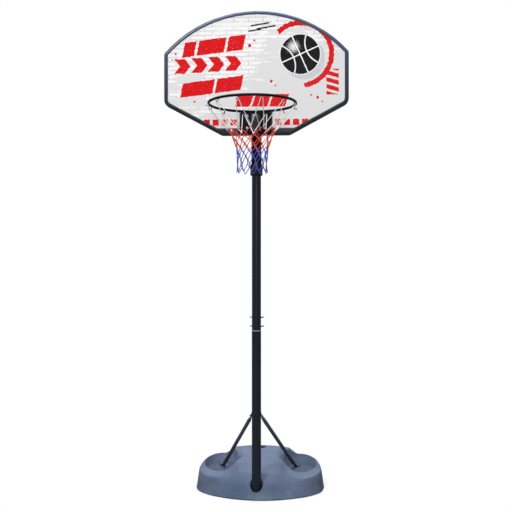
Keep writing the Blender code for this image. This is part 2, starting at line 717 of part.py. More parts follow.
def make_struts():
    """Round tubes with flattened ends: upright against the pole, level on the dish's floor."""
    for side, label in ((-1, "left"), (1, "right")):
        bolt = Vector((side * STRUT_PLATE_X, 0, STRUT_TOP_Z))
        bend = Vector((side * FOOT_BEND_X, FOOT_BEND_Y, FOOT_Z))
        fall = Vector((0, bend.y, bend.z - bolt.z)).normalized()
        flat_end = bolt + fall * STRUT_FLAT_RUN
        along = (bend - flat_end).normalized()
        level = Vector((bend.x - bolt.x, bend.y, 0)).normalized()
        upright = Vector((0, -fall.z, fall.y))
        outward = Vector((1, 0, 0))
        sideways = Vector((-level.y, level.x, 0))
        above = Vector((0, 0, 1))
        round_wide = (upright - along * upright.dot(along)).normalized() * STRUT_D / 2
        round_thin = along.cross(round_wide).normalized() * STRUT_D / 2
        if round_thin.dot(outward) < 0:
            round_thin = -round_thin
        turn_out = (sideways - along * sideways.dot(along)).normalized() * STRUT_D / 2
        turn_up = (above - along * above.dot(along)).normalized() * STRUT_D / 2
        flat, half = STRUT_FLAT / 2, STRUT_FLAT_WIDTH / 2
        round_top = flat_end + along * STRUT_SWAGE
        round_low = bend - along * STRUT_SWAGE
        if upright.dot(turn_out) < 0:
            turn_out, turn_up = -turn_out, -turn_up
            sideways, above = -sideways, -above
        if (turn_out.cross(turn_up)).dot(round_wide.cross(round_thin)) < 0:
            turn_up, above = -turn_up, -above
        # The round tube's sections turn evenly from the upper flat's plane to the lower one's.
        twist = math.atan2(along.dot(round_wide.cross(turn_out)), round_wide.dot(turn_out))
        loops = [
            section(bolt - fall * half, upright * half * 0.45, outward * flat),
            section(bolt - fall * half * 0.6, upright * half * 0.9, outward * flat),
            section(bolt, upright * half, outward * flat),
            section(flat_end, upright * half, outward * flat),
            section(round_top, round_wide, round_thin),
        ]
        for share in (0.5, 1.0):
            turn = Matrix.Rotation(twist * share, 3, along)
            loops.append(section(round_top.lerp(round_low, share), turn @ round_wide, turn @ round_thin))
        foot_half = FOOT_WIDTH / 2
        for run, width in ((0.12, 1.0), (0.75, 1.0), (0.93, 0.8), (1.0, 0.5)):
            loops.append(section(bend + level * FOOT_LENGTH * run, sideways * foot_half * width,
                                 above * flat))
        strut = solid(f"strut_{label}", lofted(loops), black_paint)
        length = (round_low - round_top).length
        lie = Matrix.Translation(round_top) @ along.to_track_quat("Z", "Y").to_matrix().to_4x4()
        bore = cutter(f"strut_bore_{label}", rod(STRUT_D - 2 * STRUT_WALL - 0.0008, 0, length), lie)
        drain_spot = round_low - along * STRUT_D
        drain = cutter(f"strut_drain_{label}", rod(STRUT_DRAIN_D, -STRUT_D, 0, 8),
                       Matrix.Translation(drain_spot))
        foot = foot_bolt_at(side)
        foot_hole = cutter(f"foot_tab_hole_{label}", rod(BOLT_HOLE, DISH_FLOOR - 0.01, DISH_FLOOR + 0.02),
                           Matrix.Translation((foot.x, foot.y, 0)))
        cut(strut, bore, drain, foot_hole, bpy.data.objects["strut_bolt_hole"])
        solid(f"foot_bolt_{label}", hex_bolt(FOOT_BOLT_DEPTH), zinc,
              Matrix.Translation((foot.x, foot.y, FOOT_Z + flat + GAP)))
    head_face = STRUT_PLATE_X + STRUT_FLAT / 2 + GAP
    at_bolt = Matrix.Translation((0, 0, STRUT_TOP_Z)) @ ALONG_X
    length = 2 * head_face + NUT_HEIGHT + BOLT_END
    solid("strut_bolt", moved(hex_bolt(length), Matrix.Translation((0, 0, head_face))), zinc, at_bolt)
    solid("strut_nut", moved(nut(BOLT_HEAD_AF, BOLT_HOLE, NUT_HEIGHT),
                             Matrix.Translation((0, 0, -head_face - NUT_HEIGHT))), zinc, at_bolt)


# Backboard

def rounded(corners):
    """A closed outline in (x, z) whose corners with a radius become arcs of six points."""
    outline = []
    for i, (corner, radius) in enumerate(corners):
        point = Vector(corner)
        if radius <= 0:
            outline.append(point)
            continue
        to_last = (Vector(corners[i - 1][0]) - point).normalized()
        to_next = (Vector(corners[(i + 1) % len(corners)][0]) - point).normalized()
        half = to_last.angle(to_next) / 2
        centre = point + (to_last + to_next).normalized() * radius / math.sin(half)
        start = point + to_last * radius / math.tan(half) - centre
        sweep = math.pi - 2 * half
        for step in range(6):
            outline.append(centre + Matrix.Rotation(sweep * step / 5, 2) @ start)
    return outline


def board_outline(inset, extra=0):
    """The board's outline, counter-clockwise from the front's lower left, drawn in by inset, and
    by this much extra along the bottom edge."""
    half = BOARD_WIDTH / 2 - inset
    radius = BOARD_ARC_R - inset
    arc_centre = BOARD_TOP - BOARD_ARC_R
    slope = Vector((BOARD_WIDTH / 2 - BOARD_BOTTOM_HALF, BOARD_SIDE_ABOVE_EDGE))
    rise = slope.y / slope.x
    shift = inset * math.hypot(1, rise)
    low = BOARD_BOTTOM + inset + extra
    side_low = BOARD_BOTTOM + shift + rise * (half - BOARD_BOTTOM_HALF)
    bottom_half = BOARD_BOTTOM_HALF + (inset + extra - shift) / rise
    side_high = arc_centre + math.sqrt(radius ** 2 - half ** 2)
    reach = math.asin(half / radius)
    steps = 20
    arc = [((radius * math.sin(reach * (1 - 2 * i / steps)),
             arc_centre + radius * math.cos(reach * (1 - 2 * i / steps))), 0) for i in range(1, steps)]
    least = 0.002
    right = [((bottom_half, low), max(BOTTOM_CORNER_R - inset, least)),
             ((half, side_low), max(SIDE_CORNER_R - inset, least)),
             ((half, side_high), max(TOP_CORNER_R - inset, least))]
    left = [((-x, z), r) for (x, z), r in reversed(right)]
    return rounded(right + arc + left)


def plate(outline, front, back):
    """A flat plate with this (x, z) outline between two depths."""
    return lofted([[Vector((x, depth, z)) for x, z in outline] for depth in (front, back)])


def make_board(head):
    edge = board_outline(0)
    lip = board_outline(LIP_WIDTH, LOW_LIP_EXTRA)
    inner = board_outline(BOARD_WALL)
    rows = ((edge, BOARD_BACK), (edge, LIP_FRONT + LIP_FALL),
            (board_outline(LIP_WIDTH * 0.25), LIP_FRONT + LIP_FALL * 0.4),
            (board_outline(LIP_WIDTH * 0.76, LOW_LIP_EXTRA), LIP_FRONT), (lip, SKIN_FRONT))
    front = [[Vector((x, depth, z)) for x, z in outline] for outline, depth in rows]
    shell = solid("board_shell", lofted(front), lambda name: finish(name, (0.05, 0.055, 0.075), 0.4),
                  parent=head)
    cut(shell, cutter("board_hollow", plate(inner, SKIN_BACK, BOARD_BACK + 0.01)))

    pad_top = BOARD_BOTTOM + PAD_HEIGHT
    half = PAD_WIDTH / 2
    pad = cutter("board_pad", block((-half, BOARD_FRONT, BOARD_BOTTOM + LIP_WIDTH / 2),
                                    (half, SKIN_BACK - BOARD_SKIN / 2, pad_top)))
    join(shell, pad)
    ribs = []
    rib_front = SKIN_BACK - BOARD_SKIN / 2
    rib_back = SKIN_BACK + RIB_DEPTH
    for x in RIBS_X:
        for side in (-1, 1):
            centre = side * x
            ribs.append(block((centre - RIB_THICK / 2, rib_front, BOARD_BOTTOM + 0.01),
                              (centre + RIB_THICK / 2, rib_back, BOARD_TOP - 0.01)))
    tall_ribs = cutter("tall_ribs", merged(ribs))
    wide_ribs = cutter("wide_ribs", merged([
        block((-BOARD_WIDTH / 2, rib_front - 0.0005, BOARD_BOTTOM + rise - RIB_THICK / 2),
              (BOARD_WIDTH / 2, rib_back - 0.002, BOARD_BOTTOM + rise + RIB_THICK / 2))
        for rise in RIBS_ABOVE_EDGE]))
    inside = cutter("board_inside", plate(board_outline(BOARD_WALL / 2), rib_front - 0.001, BOARD_BACK))
    combine(tall_ribs, "INTERSECT", inside)
    combine(wide_ribs, "INTERSECT", inside)
    cut(shell, bpy.data.objects["rim_bolt_holes"])
    join(shell, tall_ribs, wide_ribs)

    bosses, holes = [], []
    screw_hole = SCREW_D + 2 * GAP
    for spot in angle_screw_spots():
        place = Matrix.Translation((spot.x, 0, spot.y)) @ ALONG_Y
        bosses.append(moved(tube(SCREW_BOSS_D, screw_hole, rib_front, SKIN_BACK + SCREW_BOSS_HEIGHT,
                                 SMALL_ROUND), place))
        holes.append(moved(rod(screw_hole, SKIN_BACK, 0), place))
    join(shell, cutter("screw_bosses", merged(bosses)))
    cutter("screw_holes", merged(holes))

    panel_back = SKIN_FRONT - GAP
    recess = board_outline(LIP_WIDTH + 0.001, LOW_LIP_EXTRA)
    panel = solid("board_panel", plate(recess, panel_back - PANEL_THICK, panel_back),
                  lambda name: finish(name, (0.85, 0.85, 0.85), 0.35), parent=head)
    clear = 0.0006
    cut(panel, cutter("pad_notch", block((-half - clear, BOARD_FRONT - 0.01, BOARD_BOTTOM - 0.01),
                                         (half + clear, SKIN_FRONT + 0.01, pad_top + clear))))


def angle_screw_spots():
    return [Vector((side * ANGLE_SCREW_X, UPPER_ANGLE_Z + level * ANGLE_SCREW_RISE / 2))
            for side in (-1, 1) for level in (-1, 1)]


def rim_bolt_spots():
    return [Vector((side * RIM_BOLT_X, RIM_BOLT_LOW_Z + level * RIM_BOLT_RISE))
            for level in (0, 1) for side in (-1, 1)]


def make_rim_bolt_holes():
    return cutter("rim_bolt_holes", merged([
        moved(rod(BOLT_HOLE, PLATE_FRONT - 0.01, 0), Matrix.Translation((spot.x, 0, spot.y)) @ ALONG_Y)
        for spot in rim_bolt_spots()]))


def make_angles(head):
    """Bent steel angles: one leg lies on the board's back, the other along the head tube."""
    for level, height, front in (("lower", LOWER_ANGLE_Z, SKIN_BACK + GAP),
                                 ("upper", UPPER_ANGLE_Z, SKIN_BACK + SCREW_BOSS_HEIGHT + GAP)):
        low, high = height - ANGLE_HEIGHT / 2, height + ANGLE_HEIGHT / 2
        for side, label in ((-1, "left"), (1, "right")):
            bend = [(CHEEK_IN, front), (CHEEK_IN + ANGLE_FLANGE, front),
                    (CHEEK_IN + ANGLE_FLANGE, front + ANGLE_THICK),
                    (CHEEK_IN + ANGLE_THICK, front + ANGLE_THICK), (CHEEK_IN + ANGLE_THICK, ANGLE_BACK),
                    (CHEEK_IN, ANGLE_BACK)]
            loops = [[Vector((side * x, y, z)) for x, y in bend] for z in (low, high)]
            angle = solid(f"{level}_angle_{label}", lofted(loops), black_paint, parent=head)
            cut(angle, bpy.data.objects[f"head_bolt_hole_{level}"])
            if level == "lower":
                cut(angle, bpy.data.objects["rim_bolt_holes"])
            else:
                cut(angle, bpy.data.objects["screw_holes"])
    cheek_out = CHEEK_IN + ANGLE_THICK + GAP
    length = 2 * cheek_out + NUT_HEIGHT + BOLT_END
    for level, height in (("lower", LOWER_ANGLE_Z), ("upper", UPPER_ANGLE_Z)):
        place = Matrix.Translation((0, 0, height)) @ ALONG_X
        solid(f"head_bolt_{level}", moved(hex_bolt(length), Matrix.Translation((0, 0, cheek_out))),
              zinc, place, parent=head)
        solid(f"head_nut_{level}", moved(nut(BOLT_HEAD_AF, BOLT_HOLE, NUT_HEIGHT),
                                         Matrix.Translation((0, 0, -cheek_out - NUT_HEIGHT))),
              zinc, place, parent=head)
    screw_face = SKIN_BACK + SCREW_BOSS_HEIGHT + ANGLE_THICK + 2 * GAP
    for number, spot in enumerate(angle_screw_spots(), 1):
        length = SCREW_BOSS_HEIGHT + ANGLE_THICK - GAP
        solid(f"angle_screw_{number}", pan_screw(SCREW_D, length, SCREW_HEAD_D, SCREW_HEAD_HEIGHT),
              zinc, Matrix.Translation((spot.x, screw_face, spot.y)) @ ALONG_Y, parent=head)


# Rim

def rim_point(angle, radius, height):
    """A point round the rim. Angle 0 is at the front, and angles grow towards +X."""
    return Vector((radius * math.sin(angle), -RIM_REACH - radius * math.cos(angle), height))


def hook_angle(index):
    return math.tau * (index + 0.5) / HOOKS


def make_rim(head):
    ring = bmesh.new()
    bmesh.ops.create_circle(ring, radius=RIM_ROD / 2, segments=10, cap_ends=False)
    ring.transform(Matrix.Translation((RIM_RADIUS, 0, 0)) @ Matrix.Rotation(math.pi / 2, 4, "X"))
    bmesh.ops.spin(ring, geom=ring.verts[:] + ring.edges[:], cent=(0, 0, 0), axis=(0, 0, 1),
                   angle=math.tau, steps=48, use_merge=True)
    bmesh.ops.remove_doubles(ring, verts=ring.verts, dist=1e-6)
    bmesh.ops.recalc_face_normals(ring, faces=ring.faces)
    rim = solid("rim_ring", ring, black_paint, Matrix.Translation((0, -RIM_REACH, RIM_HEIGHT)),
                parent=head)
    hooks = []
    wire = HOOK_WIRE / 2
    bend = RIM_HEIGHT - HOOK_DROP - wire
    path = [(RIM_RADIUS, RIM_BOTTOM + 0.003, (1, 0)), (RIM_RADIUS, bend + 0.004, (1, 0)),
            (RIM_RADIUS + 0.002, bend, (0.7, 0.7)), (RIM_RADIUS + HOOK_MOUTH - 0.002, bend, (-0.7, 0.7)),
            (RIM_RADIUS + HOOK_MOUTH, bend + 0.005, (-1, 0))]
    for index in range(HOOKS):
        angle = hook_angle(index)
        tangent = Vector((math.cos(angle), math.sin(angle), 0))
        outward = Vector((math.sin(angle), -math.cos(angle), 0))
        loops = []
        for radius, height, (out, up) in path:
            across = (outward * out + Vector((0, 0, up))).normalized()
            centre = rim_point(angle, radius, height)
            loops.append(section(centre, tangent * wire, across * wire, 6))
        hooks.append(lofted(loops))
    join(rim, cutter("net_hooks", merged(hooks)))

    half = RIM_PLATE_WIDTH / 2
    top = RIM_PLATE_BOTTOM + RIM_PLATE_HEIGHT
    corner = 0.008
    outline = rounded([((half, RIM_PLATE_BOTTOM), corner), ((half, top), corner),
                       ((-half, top), corner), ((-half, RIM_PLATE_BOTTOM), corner)])
    rim_plate = solid("rim_plate", plate(outline, PLATE_FRONT, PLATE_BACK), black_paint, parent=head)
    cut(rim_plate, bpy.data.objects["rim_bolt_holes"])

    gusset_top = RIM_BOTTOM - GAP
    nose_y = -RIM_REACH + RIM_RADIUS - RIM_ROD / 2
    loops = []
    for depth, half, low in ((PLATE_FRONT - GAP, GUSSET_WIDTH / 2, RIM_HEIGHT - GUSSET_BELOW_RIM),
                             (nose_y, GUSSET_NOSE / 2, gusset_top - GUSSET_NOSE_DEPTH)):
        wall = GUSSET_WALL
        loops.append([Vector((x, depth, z)) for x, z in (
            (-half, gusset_top), (-half, low), (half, low), (half, gusset_top),
            (half - wall, gusset_top), (half - wall, low + wall), (wall - half, low + wall),
            (wall - half, gusset_top))])
    solid("rim_gusset", lofted(loops), black_paint, parent=head)

    for number, spot in enumerate(rim_bolt_spots(), 1):
        back = SKIN_BACK + ANGLE_THICK + 2 * GAP
        length = back - PLATE_FRONT + NUT_HEIGHT + BOLT_END
        facing = Matrix.Translation((spot.x, PLATE_FRONT - GAP, spot.y)) @ ALONG_Y @ Matrix.Rotation(
            math.pi, 4, "X")
        solid(f"rim_bolt_{number}", pan_screw(BOLT_D, length, PAN_HEAD_D, PAN_HEAD_HEIGHT), zinc,
              facing, parent=head)
        solid(f"rim_nut_{number}", nut(BOLT_HEAD_AF, BOLT_HOLE, NUT_HEIGHT), zinc,
              Matrix.Translation((spot.x, back, spot.y)) @ ALONG_Y, parent=head)


# Net

def net_row(row):
    """(height, radius) of a row of knots. The top row lies over the hooks."""
    if row == 0:
        return RIM_HEIGHT - HOOK_DROP + CORD / 4, RIM_RADIUS + HOOK_MOUTH / 2
    drop, radius = NET_ROWS[row - 1]
    return RIM_HEIGHT - drop, radius


def knot(row, column):
    """The knot's centre and its sideways, upward and outward directions."""
    height, radius = net_row(row)
    angle = hook_angle(column + (row % 2) / 2)
    above, wider = net_row(max(row - 1, 0))
    below, narrower = net_row(min(row + 1, len(NET_ROWS)))
    sideways = Vector((math.cos(angle), math.sin(angle), 0))
    out = Vector((math.sin(angle), -math.cos(angle), 0))
    upward = (out * (wider - narrower) + Vector((0, 0, above - below))).normalized()
    return rim_point(angle, radius, height), sideways, upward, sideways.cross(upward).normalized()


def knot_corners(row, column):
    """The knot's four corners, each an outer and an inner point."""
    centre, sideways, upward, out = knot(row, column)
    reach = CORD * 0.72
    half = CORD / 2
    return {name: [centre + shift + out * depth for depth in (half, -half)] for name, shift in (
        ("top", upward * reach), ("bottom", -upward * reach),
        ("left", -sideways * reach), ("right", sideways * reach))}


def make_band(name, colour, first, last, parent):
    """Cords between two rows of knots, with every knot below the first row. The first band
    has arches over the hooks, and the others start a gap below the knots of the band above."""
    mesh = bmesh.new()
    knots = {}

    def points(pair):
        return [mesh.verts.new(point) for point in pair]

    for row in range(first + 1, last + 1):
        for column in range(HOOKS):
            knots[row, column] = {key: points(pair) for key, pair in knot_corners(row, column).items()}

    def face(*corners):
        mesh.faces.new(corners)

    def cord(start_low, start_high, end_low, end_high):
        face(start_low[0], end_low[0], end_high[0], start_high[0])
        face(start_low[1], start_high[1], end_high[1], end_low[1])
        face(start_low[0], start_low[1], end_low[1], end_low[0])
        face(start_high[0], end_high[0], end_high[1], start_high[1])

    def start_faces(row, column):
        """Both lower faces of a knot, as ((low, high) on the left, (low, high) on the right)."""
        if row > first:
            made = knots[row, column]
            return (made["bottom"], made["left"]), (made["bottom"], made["right"])
        centre, sideways, upward, out = knot(row, column)
        if row == 0:
            rise, reach, half = 0.0022, 0.0065, CORD * 0.375
            ends = []
            above = Vector((0, 0, CORD))
            middle_low = points([centre + out * half, centre - out * half])
            middle_high = points([centre + above + out * half, centre + above - out * half])
            for side in (-1, 1):
                inner = centre + sideways * side * (reach - CORD / 2) - Vector((0, 0, rise))
                outer = centre + sideways * side * (reach + CORD / 2) + Vector((0, 0, 0.0008))
                low, high = points([inner + out * half, inner - out * half]), points(
                    [outer + out * half, outer - out * half])
                cord(middle_low, middle_high, low, high)
                ends.append((low, high))
            return tuple(ends)
        corners = knot_corners(row, column)
        ends = []
        for side, key in ((-1, "left"), (1, "right")):
            away = (sideways * side - upward).normalized() * GAP * 1.5
            low = points([point + away for point in corners["bottom"]])
            high = points([point + away for point in corners[key]])
            face(low[0], low[1], high[1], high[0])
            ends.append((low, high))
        return tuple(ends)

    for row in range(first, last):
        for column in range(HOOKS):
            shift = row % 2
            for (low, high), next_column, key in zip(
                    start_faces(row, column), (column - 1 + shift, column + shift), ("right", "left")):
                below = knots[row + 1, next_column % HOOKS]
                cord(low, high, below[key], below["top"])
    for (row, column), made in knots.items():
        for side in (0, 1):
            face(made["top"][side], made["left"][side], made["bottom"][side], made["right"][side])
        if row == last:
            for key in ("left", "right"):
                face(made["bottom"][0], made["bottom"][1], made[key][1], made[key][0])
    bmesh.ops.recalc_face_normals(mesh, faces=mesh.faces)
    solid(name, mesh, lambda label: finish(label, colour, 0.8), parent=parent)


def make_net(head):
    red_top = WHITE_ROW_COUNT
    blue_top = WHITE_ROW_COUNT + RED_ROW_COUNT
    make_band("net_white", (0.85, 0.85, 0.85), 0, red_top, head)
    make_band("net_red", (0.75, 0.05, 0.03), red_top, blue_top, head)
    make_band("net_blue", (0.04, 0.08, 0.45), blue_top, len(NET_ROWS), head)


def main():
    for old in list(bpy.data.objects):
        bpy.data.objects.remove(old)
    make_tank()
    make_fill_cap()
    make_wheels()
    make_lower_pole()
    make_struts()
    head = joint_axis("height_axis", (0, 0, 0))
    pole = make_head_poles(head)
    make_clamps(head, pole)
    make_rim_bolt_holes()
    make_board(head)
    make_angles(head)
    make_rim(head)
    make_net(head)


main()
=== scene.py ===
import json
import math
import random

import bmesh
import bpy
from mathutils import Matrix, Vector

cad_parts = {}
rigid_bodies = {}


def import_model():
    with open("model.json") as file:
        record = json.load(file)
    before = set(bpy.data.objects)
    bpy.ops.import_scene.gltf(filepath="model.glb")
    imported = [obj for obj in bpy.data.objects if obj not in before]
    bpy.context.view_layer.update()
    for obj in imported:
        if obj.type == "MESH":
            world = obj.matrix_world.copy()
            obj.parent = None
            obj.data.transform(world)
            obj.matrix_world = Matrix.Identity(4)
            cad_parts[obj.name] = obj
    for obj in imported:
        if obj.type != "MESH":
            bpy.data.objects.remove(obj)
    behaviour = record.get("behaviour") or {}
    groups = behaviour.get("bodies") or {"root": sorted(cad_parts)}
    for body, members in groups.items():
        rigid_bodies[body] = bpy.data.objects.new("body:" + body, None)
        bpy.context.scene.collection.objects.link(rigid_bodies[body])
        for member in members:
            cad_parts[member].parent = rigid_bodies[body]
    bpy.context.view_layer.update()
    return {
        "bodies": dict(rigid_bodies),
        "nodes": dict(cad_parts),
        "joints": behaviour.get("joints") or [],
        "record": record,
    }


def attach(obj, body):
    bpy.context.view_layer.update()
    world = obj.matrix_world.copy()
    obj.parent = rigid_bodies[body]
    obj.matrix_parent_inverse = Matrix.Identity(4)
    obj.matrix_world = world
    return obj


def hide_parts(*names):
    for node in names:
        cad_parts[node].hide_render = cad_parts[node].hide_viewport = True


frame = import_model()

# Camera
# It stands 3.8 m in front of the pole and a little to its right, level at 1.19 m, where the
# photograph was taken from.

turn = math.radians(3.2)
distance = 3.817
eye_height = 1.192
shift_left = 0.0022
camera = bpy.data.objects.new("camera", bpy.data.cameras.new("camera"))
bpy.context.scene.collection.objects.link(camera)
camera.location = (distance * math.sin(turn) - shift_left, -distance * math.cos(turn), eye_height)
camera.rotation_euler = (math.pi / 2, 0, turn)
camera.data.lens = 54.42
camera.data.sensor_width = 36
bpy.context.scene.camera = camera
bpy.context.scene.view_settings.view_transform = "Standard"

# Ballast tank
# One blow-moulded shell of blue-grey plastic. The mould leaves a fine pebble all over, and a
# thin raised seam just above the floor, where its two halves met.

# Its heights are those at the pole, and a rise is per metre towards the back.
tank_middle = Vector((0.009, 0.165))
front_edge = (0, -0.055)
right_edge = [(0.110, -0.040), (0.219, 0.006), (0.279, 0.053), (0.315, 0.103), (0.327, 0.173),
              (0.325, 0.225), (0.303, 0.310), (0.255, 0.363), (0.200, 0.381), (0.100, 0.385)]
back_edge = (0, 0.385)
seam_height = 0.0086
lobe_height = 0.0805
lobe_rise = 0.142
hump_height = 0.098
hump_rise = 0.232
hump_half = 0.092
crest_height = 0.1715
crest_radius = 0.909
dish_spot = Vector((0.206, 0.233))
dish_half = Vector((0.082, 0.119))
dish_floor = 0.078
dish_rim = 0.046


class Value:
    """One output of a material's nodes, with arithmetic. Its size has no sign, and its part is
    what follows the decimal point."""

    def __init__(self, paint, output):
        self.paint = paint
        self.output = output

    def maths(self, operation, *others):
        node = self.paint.tree.nodes.new("ShaderNodeMath")
        node.operation = operation
        for slot, value in zip(node.inputs, (self, *others)):
            self.paint.feed(slot, value)
        return Value(self.paint, node.outputs[0])

    def __add__(self, other):
        return self.maths("ADD", other)

    def __sub__(self, other):
        return self.maths("SUBTRACT", other)

    def __mul__(self, other):
        return self.maths("MULTIPLY", other)

    def least(self, other):
        return self.maths("MINIMUM", other)

    def most(self, other):
        return self.maths("MAXIMUM", other)

    def size(self):
        return self.maths("ABSOLUTE")

    def root(self):
        return self.maths("SQRT")

    def part(self):
        return self.maths("FRACT")

    def eased(self, low, high):
        """0 at low and 1 at high, with a smooth step between."""
        return self.paint.node("ShaderNodeMapRange", "Result", {
            "Value": self, "From Min": low, "From Max": high}, interpolation_type="SMOOTHSTEP")


class Paint:
    """A material on a Principled shader. Its place is in metres, in the object's own frame."""

    def __init__(self, name, colour, roughness, **constants):
        self.material = bpy.data.materials.new(name)
        self.material.use_nodes = True
        self.tree = self.material.node_tree
        self.shader = self.tree.nodes["Principled BSDF"]
        self.shader.inputs["Base Color"].default_value = linear(*colour)
        self.shader.inputs["Roughness"].default_value = roughness
        for label, value in constants.items():
            self.shader.inputs[label.replace("_", " ")].default_value = value
        self.place = self.node("ShaderNodeTexCoord", "Object", {})
        self.x, self.y, self.z = (
            self.node("ShaderNodeSeparateXYZ", axis, {"Vector": self.place}) for axis in "XYZ")

    def feed(self, slot, value):
        if isinstance(value, Value):
            self.tree.links.new(value.output, slot)
        else:
            slot.default_value = value

    def node(self, kind, output, inputs, **settings):
        made = self.tree.nodes.new(kind)
        for label, value in settings.items():
            setattr(made, label, value)
        for label, value in inputs.items():
            self.feed(made.inputs[label], value)
        return Value(self, made.outputs[output])

    def grain(self, per_metre, detail=2.0, place=None):
        """Noise from 0 to 1."""
        return self.node("ShaderNodeTexNoise", "Fac", {
            "Vector": place or self.place, "Scale": per_metre, "Detail": detail})

    def mixed(self, share, first, second):
        """A colour that goes from the first to the second with share."""
        return self.node("ShaderNodeMix", 2, {0: share, 6: first, 7: second}, data_type="RGBA")

    def coloured(self, colour):
        self.feed(self.shader.inputs["Base Color"], colour)

    def mottled(self, per_metre, detail, dark, light):
        """Patches that go from a dark colour to a light one."""
        self.coloured(self.mixed(self.grain(per_metre, detail), linear(*dark), linear(*light)))

    def roughened(self, per_metre, detail, spread, least):
        """Patches whose roughness goes up from the least by spread."""
        self.feed(self.shader.inputs["Roughness"], self.grain(per_metre, detail) * spread + least)

    def embossed(self, per_metre, depth):
        """Fine bumps of this depth in metres."""
        self.feed(self.shader.inputs["Normal"], self.node(
            "ShaderNodeBump", "Normal", {"Height": self.grain(per_metre), "Distance": depth}))

    def cover(self, *pieces):
        for piece in pieces:
            piece.data.materials.clear()
            piece.data.materials.append(self.material)


def linear(red, green, blue):
    """The light that a screen colour of 0 to 255 stands for."""
    return (*[(part / 255) ** 2.2 for part in (red, green, blue)], 1.0)


def new_piece(name, mesh, body, sharp=30):
    """An object at the origin from a bmesh, shaded smooth but for its sharp edges."""
    data = bpy.data.meshes.new(name)
    mesh.to_mesh(data)
    mesh.free()
    piece = bpy.data.objects.new(name, data)
    bpy.context.scene.collection.objects.link(piece)
    smooth_but(piece, sharp)
    if body:
        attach(piece, body)
    return piece


def smooth_but(piece, sharp):
    """Smooth shading that keeps edges of more than this many degrees sharp."""
    piece.data.shade_smooth()
    piece.data.set_sharp_from_angle(angle=math.radians(sharp))


def finished_mesh(rough):
    """The mesh that a piece has after its modifiers, or a curve after its bevel."""
    bpy.context.view_layer.update()
    graph = bpy.context.evaluated_depsgraph_get()
    return bpy.data.meshes.new_from_object(rough.evaluated_get(graph))


def carve(piece, shapes, sharp):
    """Takes these closed bmeshes away from the piece."""
    tools = []
    for shape in shapes:
        tool = new_piece("carving_tool", shape, None)
        tools.append(tool)
        step = piece.modifiers.new("carve", "BOOLEAN")
        step.operation = "DIFFERENCE"
        step.object = tool
        step.solver = "EXACT"
    carved = finished_mesh(piece)
    piece.modifiers.clear()
    piece.data = carved
    for tool in tools:
        bpy.data.objects.remove(tool)
    smooth_but(piece, sharp)


def spun(profile, steps):
    """A closed mesh turned about +Z from (radius, height) points that start and end at radius 0."""
    mesh = bmesh.new()
    points = [mesh.verts.new((radius, 0, height)) for radius, height in profile]
    edges = [mesh.edges.new(pair) for pair in zip(points, points[1:])]
    bmesh.ops.spin(mesh, geom=points + edges, cent=(0, 0, 0), axis=(0, 0, 1),
                   angle=math.tau, steps=steps, use_merge=True)
    bmesh.ops.remove_doubles(mesh, verts=mesh.verts, dist=1e-6)
    bmesh.ops.recalc_face_normals(mesh, faces=mesh.faces)
    return mesh


def placed(mesh, place):
    """The bmesh itself, moved by a matrix."""
    mesh.transform(place)
    return mesh


def grown(mesh, loop):
    """Extrudes a closed loop of edges. Returns the new loop and its vertices."""
    made = bmesh.ops.extrude_edge_only(mesh, edges=loop)["geom"]
    points = {item for item in made if isinstance(item, bmesh.types.BMVert)}
    edges = [item for item in made if isinstance(item, bmesh.types.BMEdge)
             and item.verts[0] in points and item.verts[1] in points]
    return edges, points


def soft_min(a, b, width):
    """The lesser of two heights, rounded where they differ by less than width."""
    overlap = max(width - abs(a - b), 0) / width
    return min(a, b) - overlap * overlap * width / 4


def eased(value, low, high):
    """0 at low and 1 at high, with a smooth step between."""
    share = min(max((value - low) / (high - low), 0), 1)
    return share * share * (3 - 2 * share)


def beside_dish(x, y):
    """How far a spot is outside the nearer dish, and how much it is in front of it and on its
    inner side, each from 0 to 1."""
    across = (abs(x - tank_middle.x) - dish_spot.x) / dish_half.x
    along = (y - dish_spot.y) / dish_half.y
    outside = max(math.hypot(across, along) - 1, 0) * (dish_half.x + dish_half.y) / 2
    front = eased(along, -0.1, -0.8)
    inner = eased(across, 0.0, -0.8) * eased(y, 0.345, 0.20)
    return outside, front, inner


def tank_top(x, y):
    """Height of the upper side: a broad hump down the middle between two falling lobes. In
    front, a lobe is a level rim round its dish and then falls away. The hump's flank slopes
    down into the dish beside it."""
    outside, front, inner = beside_dish(x, y)
    x = abs(x - tank_middle.x)
    front_fall = 0.14 * outside + 1.1 * max(outside - dish_rim, 0)
    fall = 0.48 * outside * (1 - front) + front * front_fall
    lobe = lobe_height + lobe_rise * y - fall
    crest = crest_height - x * x / (2 * crest_radius)
    past_hump = max(x - hump_half - 0.15 * max(y, 0), 0)
    hump = soft_min(hump_height + hump_rise * y, crest, 0.012) - 0.62 * past_hump
    top = -soft_min(-lobe, -hump, 0.012 + 0.010 * front)
    into_dish = 0.096 + 0.06 * front + 1.9 * outside
    return top + inner * (soft_min(top, into_dish, 0.03) - top)


def tank_height(x, y, inward):
    """The wall meets the lobes in a crisp crease, and runs smoothly up the hump's front."""
    back = eased(y, 0.02, 0.24)
    middle = eased(abs(x - tank_middle.x), 0.19, 0.075) * (1 - back)
    outside, front, _ = beside_dish(x, y)
    past_rim = eased(outside, dish_rim, dish_rim + 0.01) * front * (1 - middle)
    crease = 0.0035 + 0.0065 * back + 0.075 * middle + 0.03 * past_rim
    steepness = 1.3 + 6.7 * back
    return soft_min(0.008 + steepness * inward, tank_top(x, y), crease)


def smooth_spot(before, start, end, after, t):
    """A spot from start to end, at t from 0 to 1, on a smooth curve through all four."""
    bend = (2 * before - 5 * start + 4 * end - after) * t * t
    flick = (3 * start - before - 3 * end + after) * t * t * t
    return 0.5 * (2 * start + (end - before) * t + bend + flick)


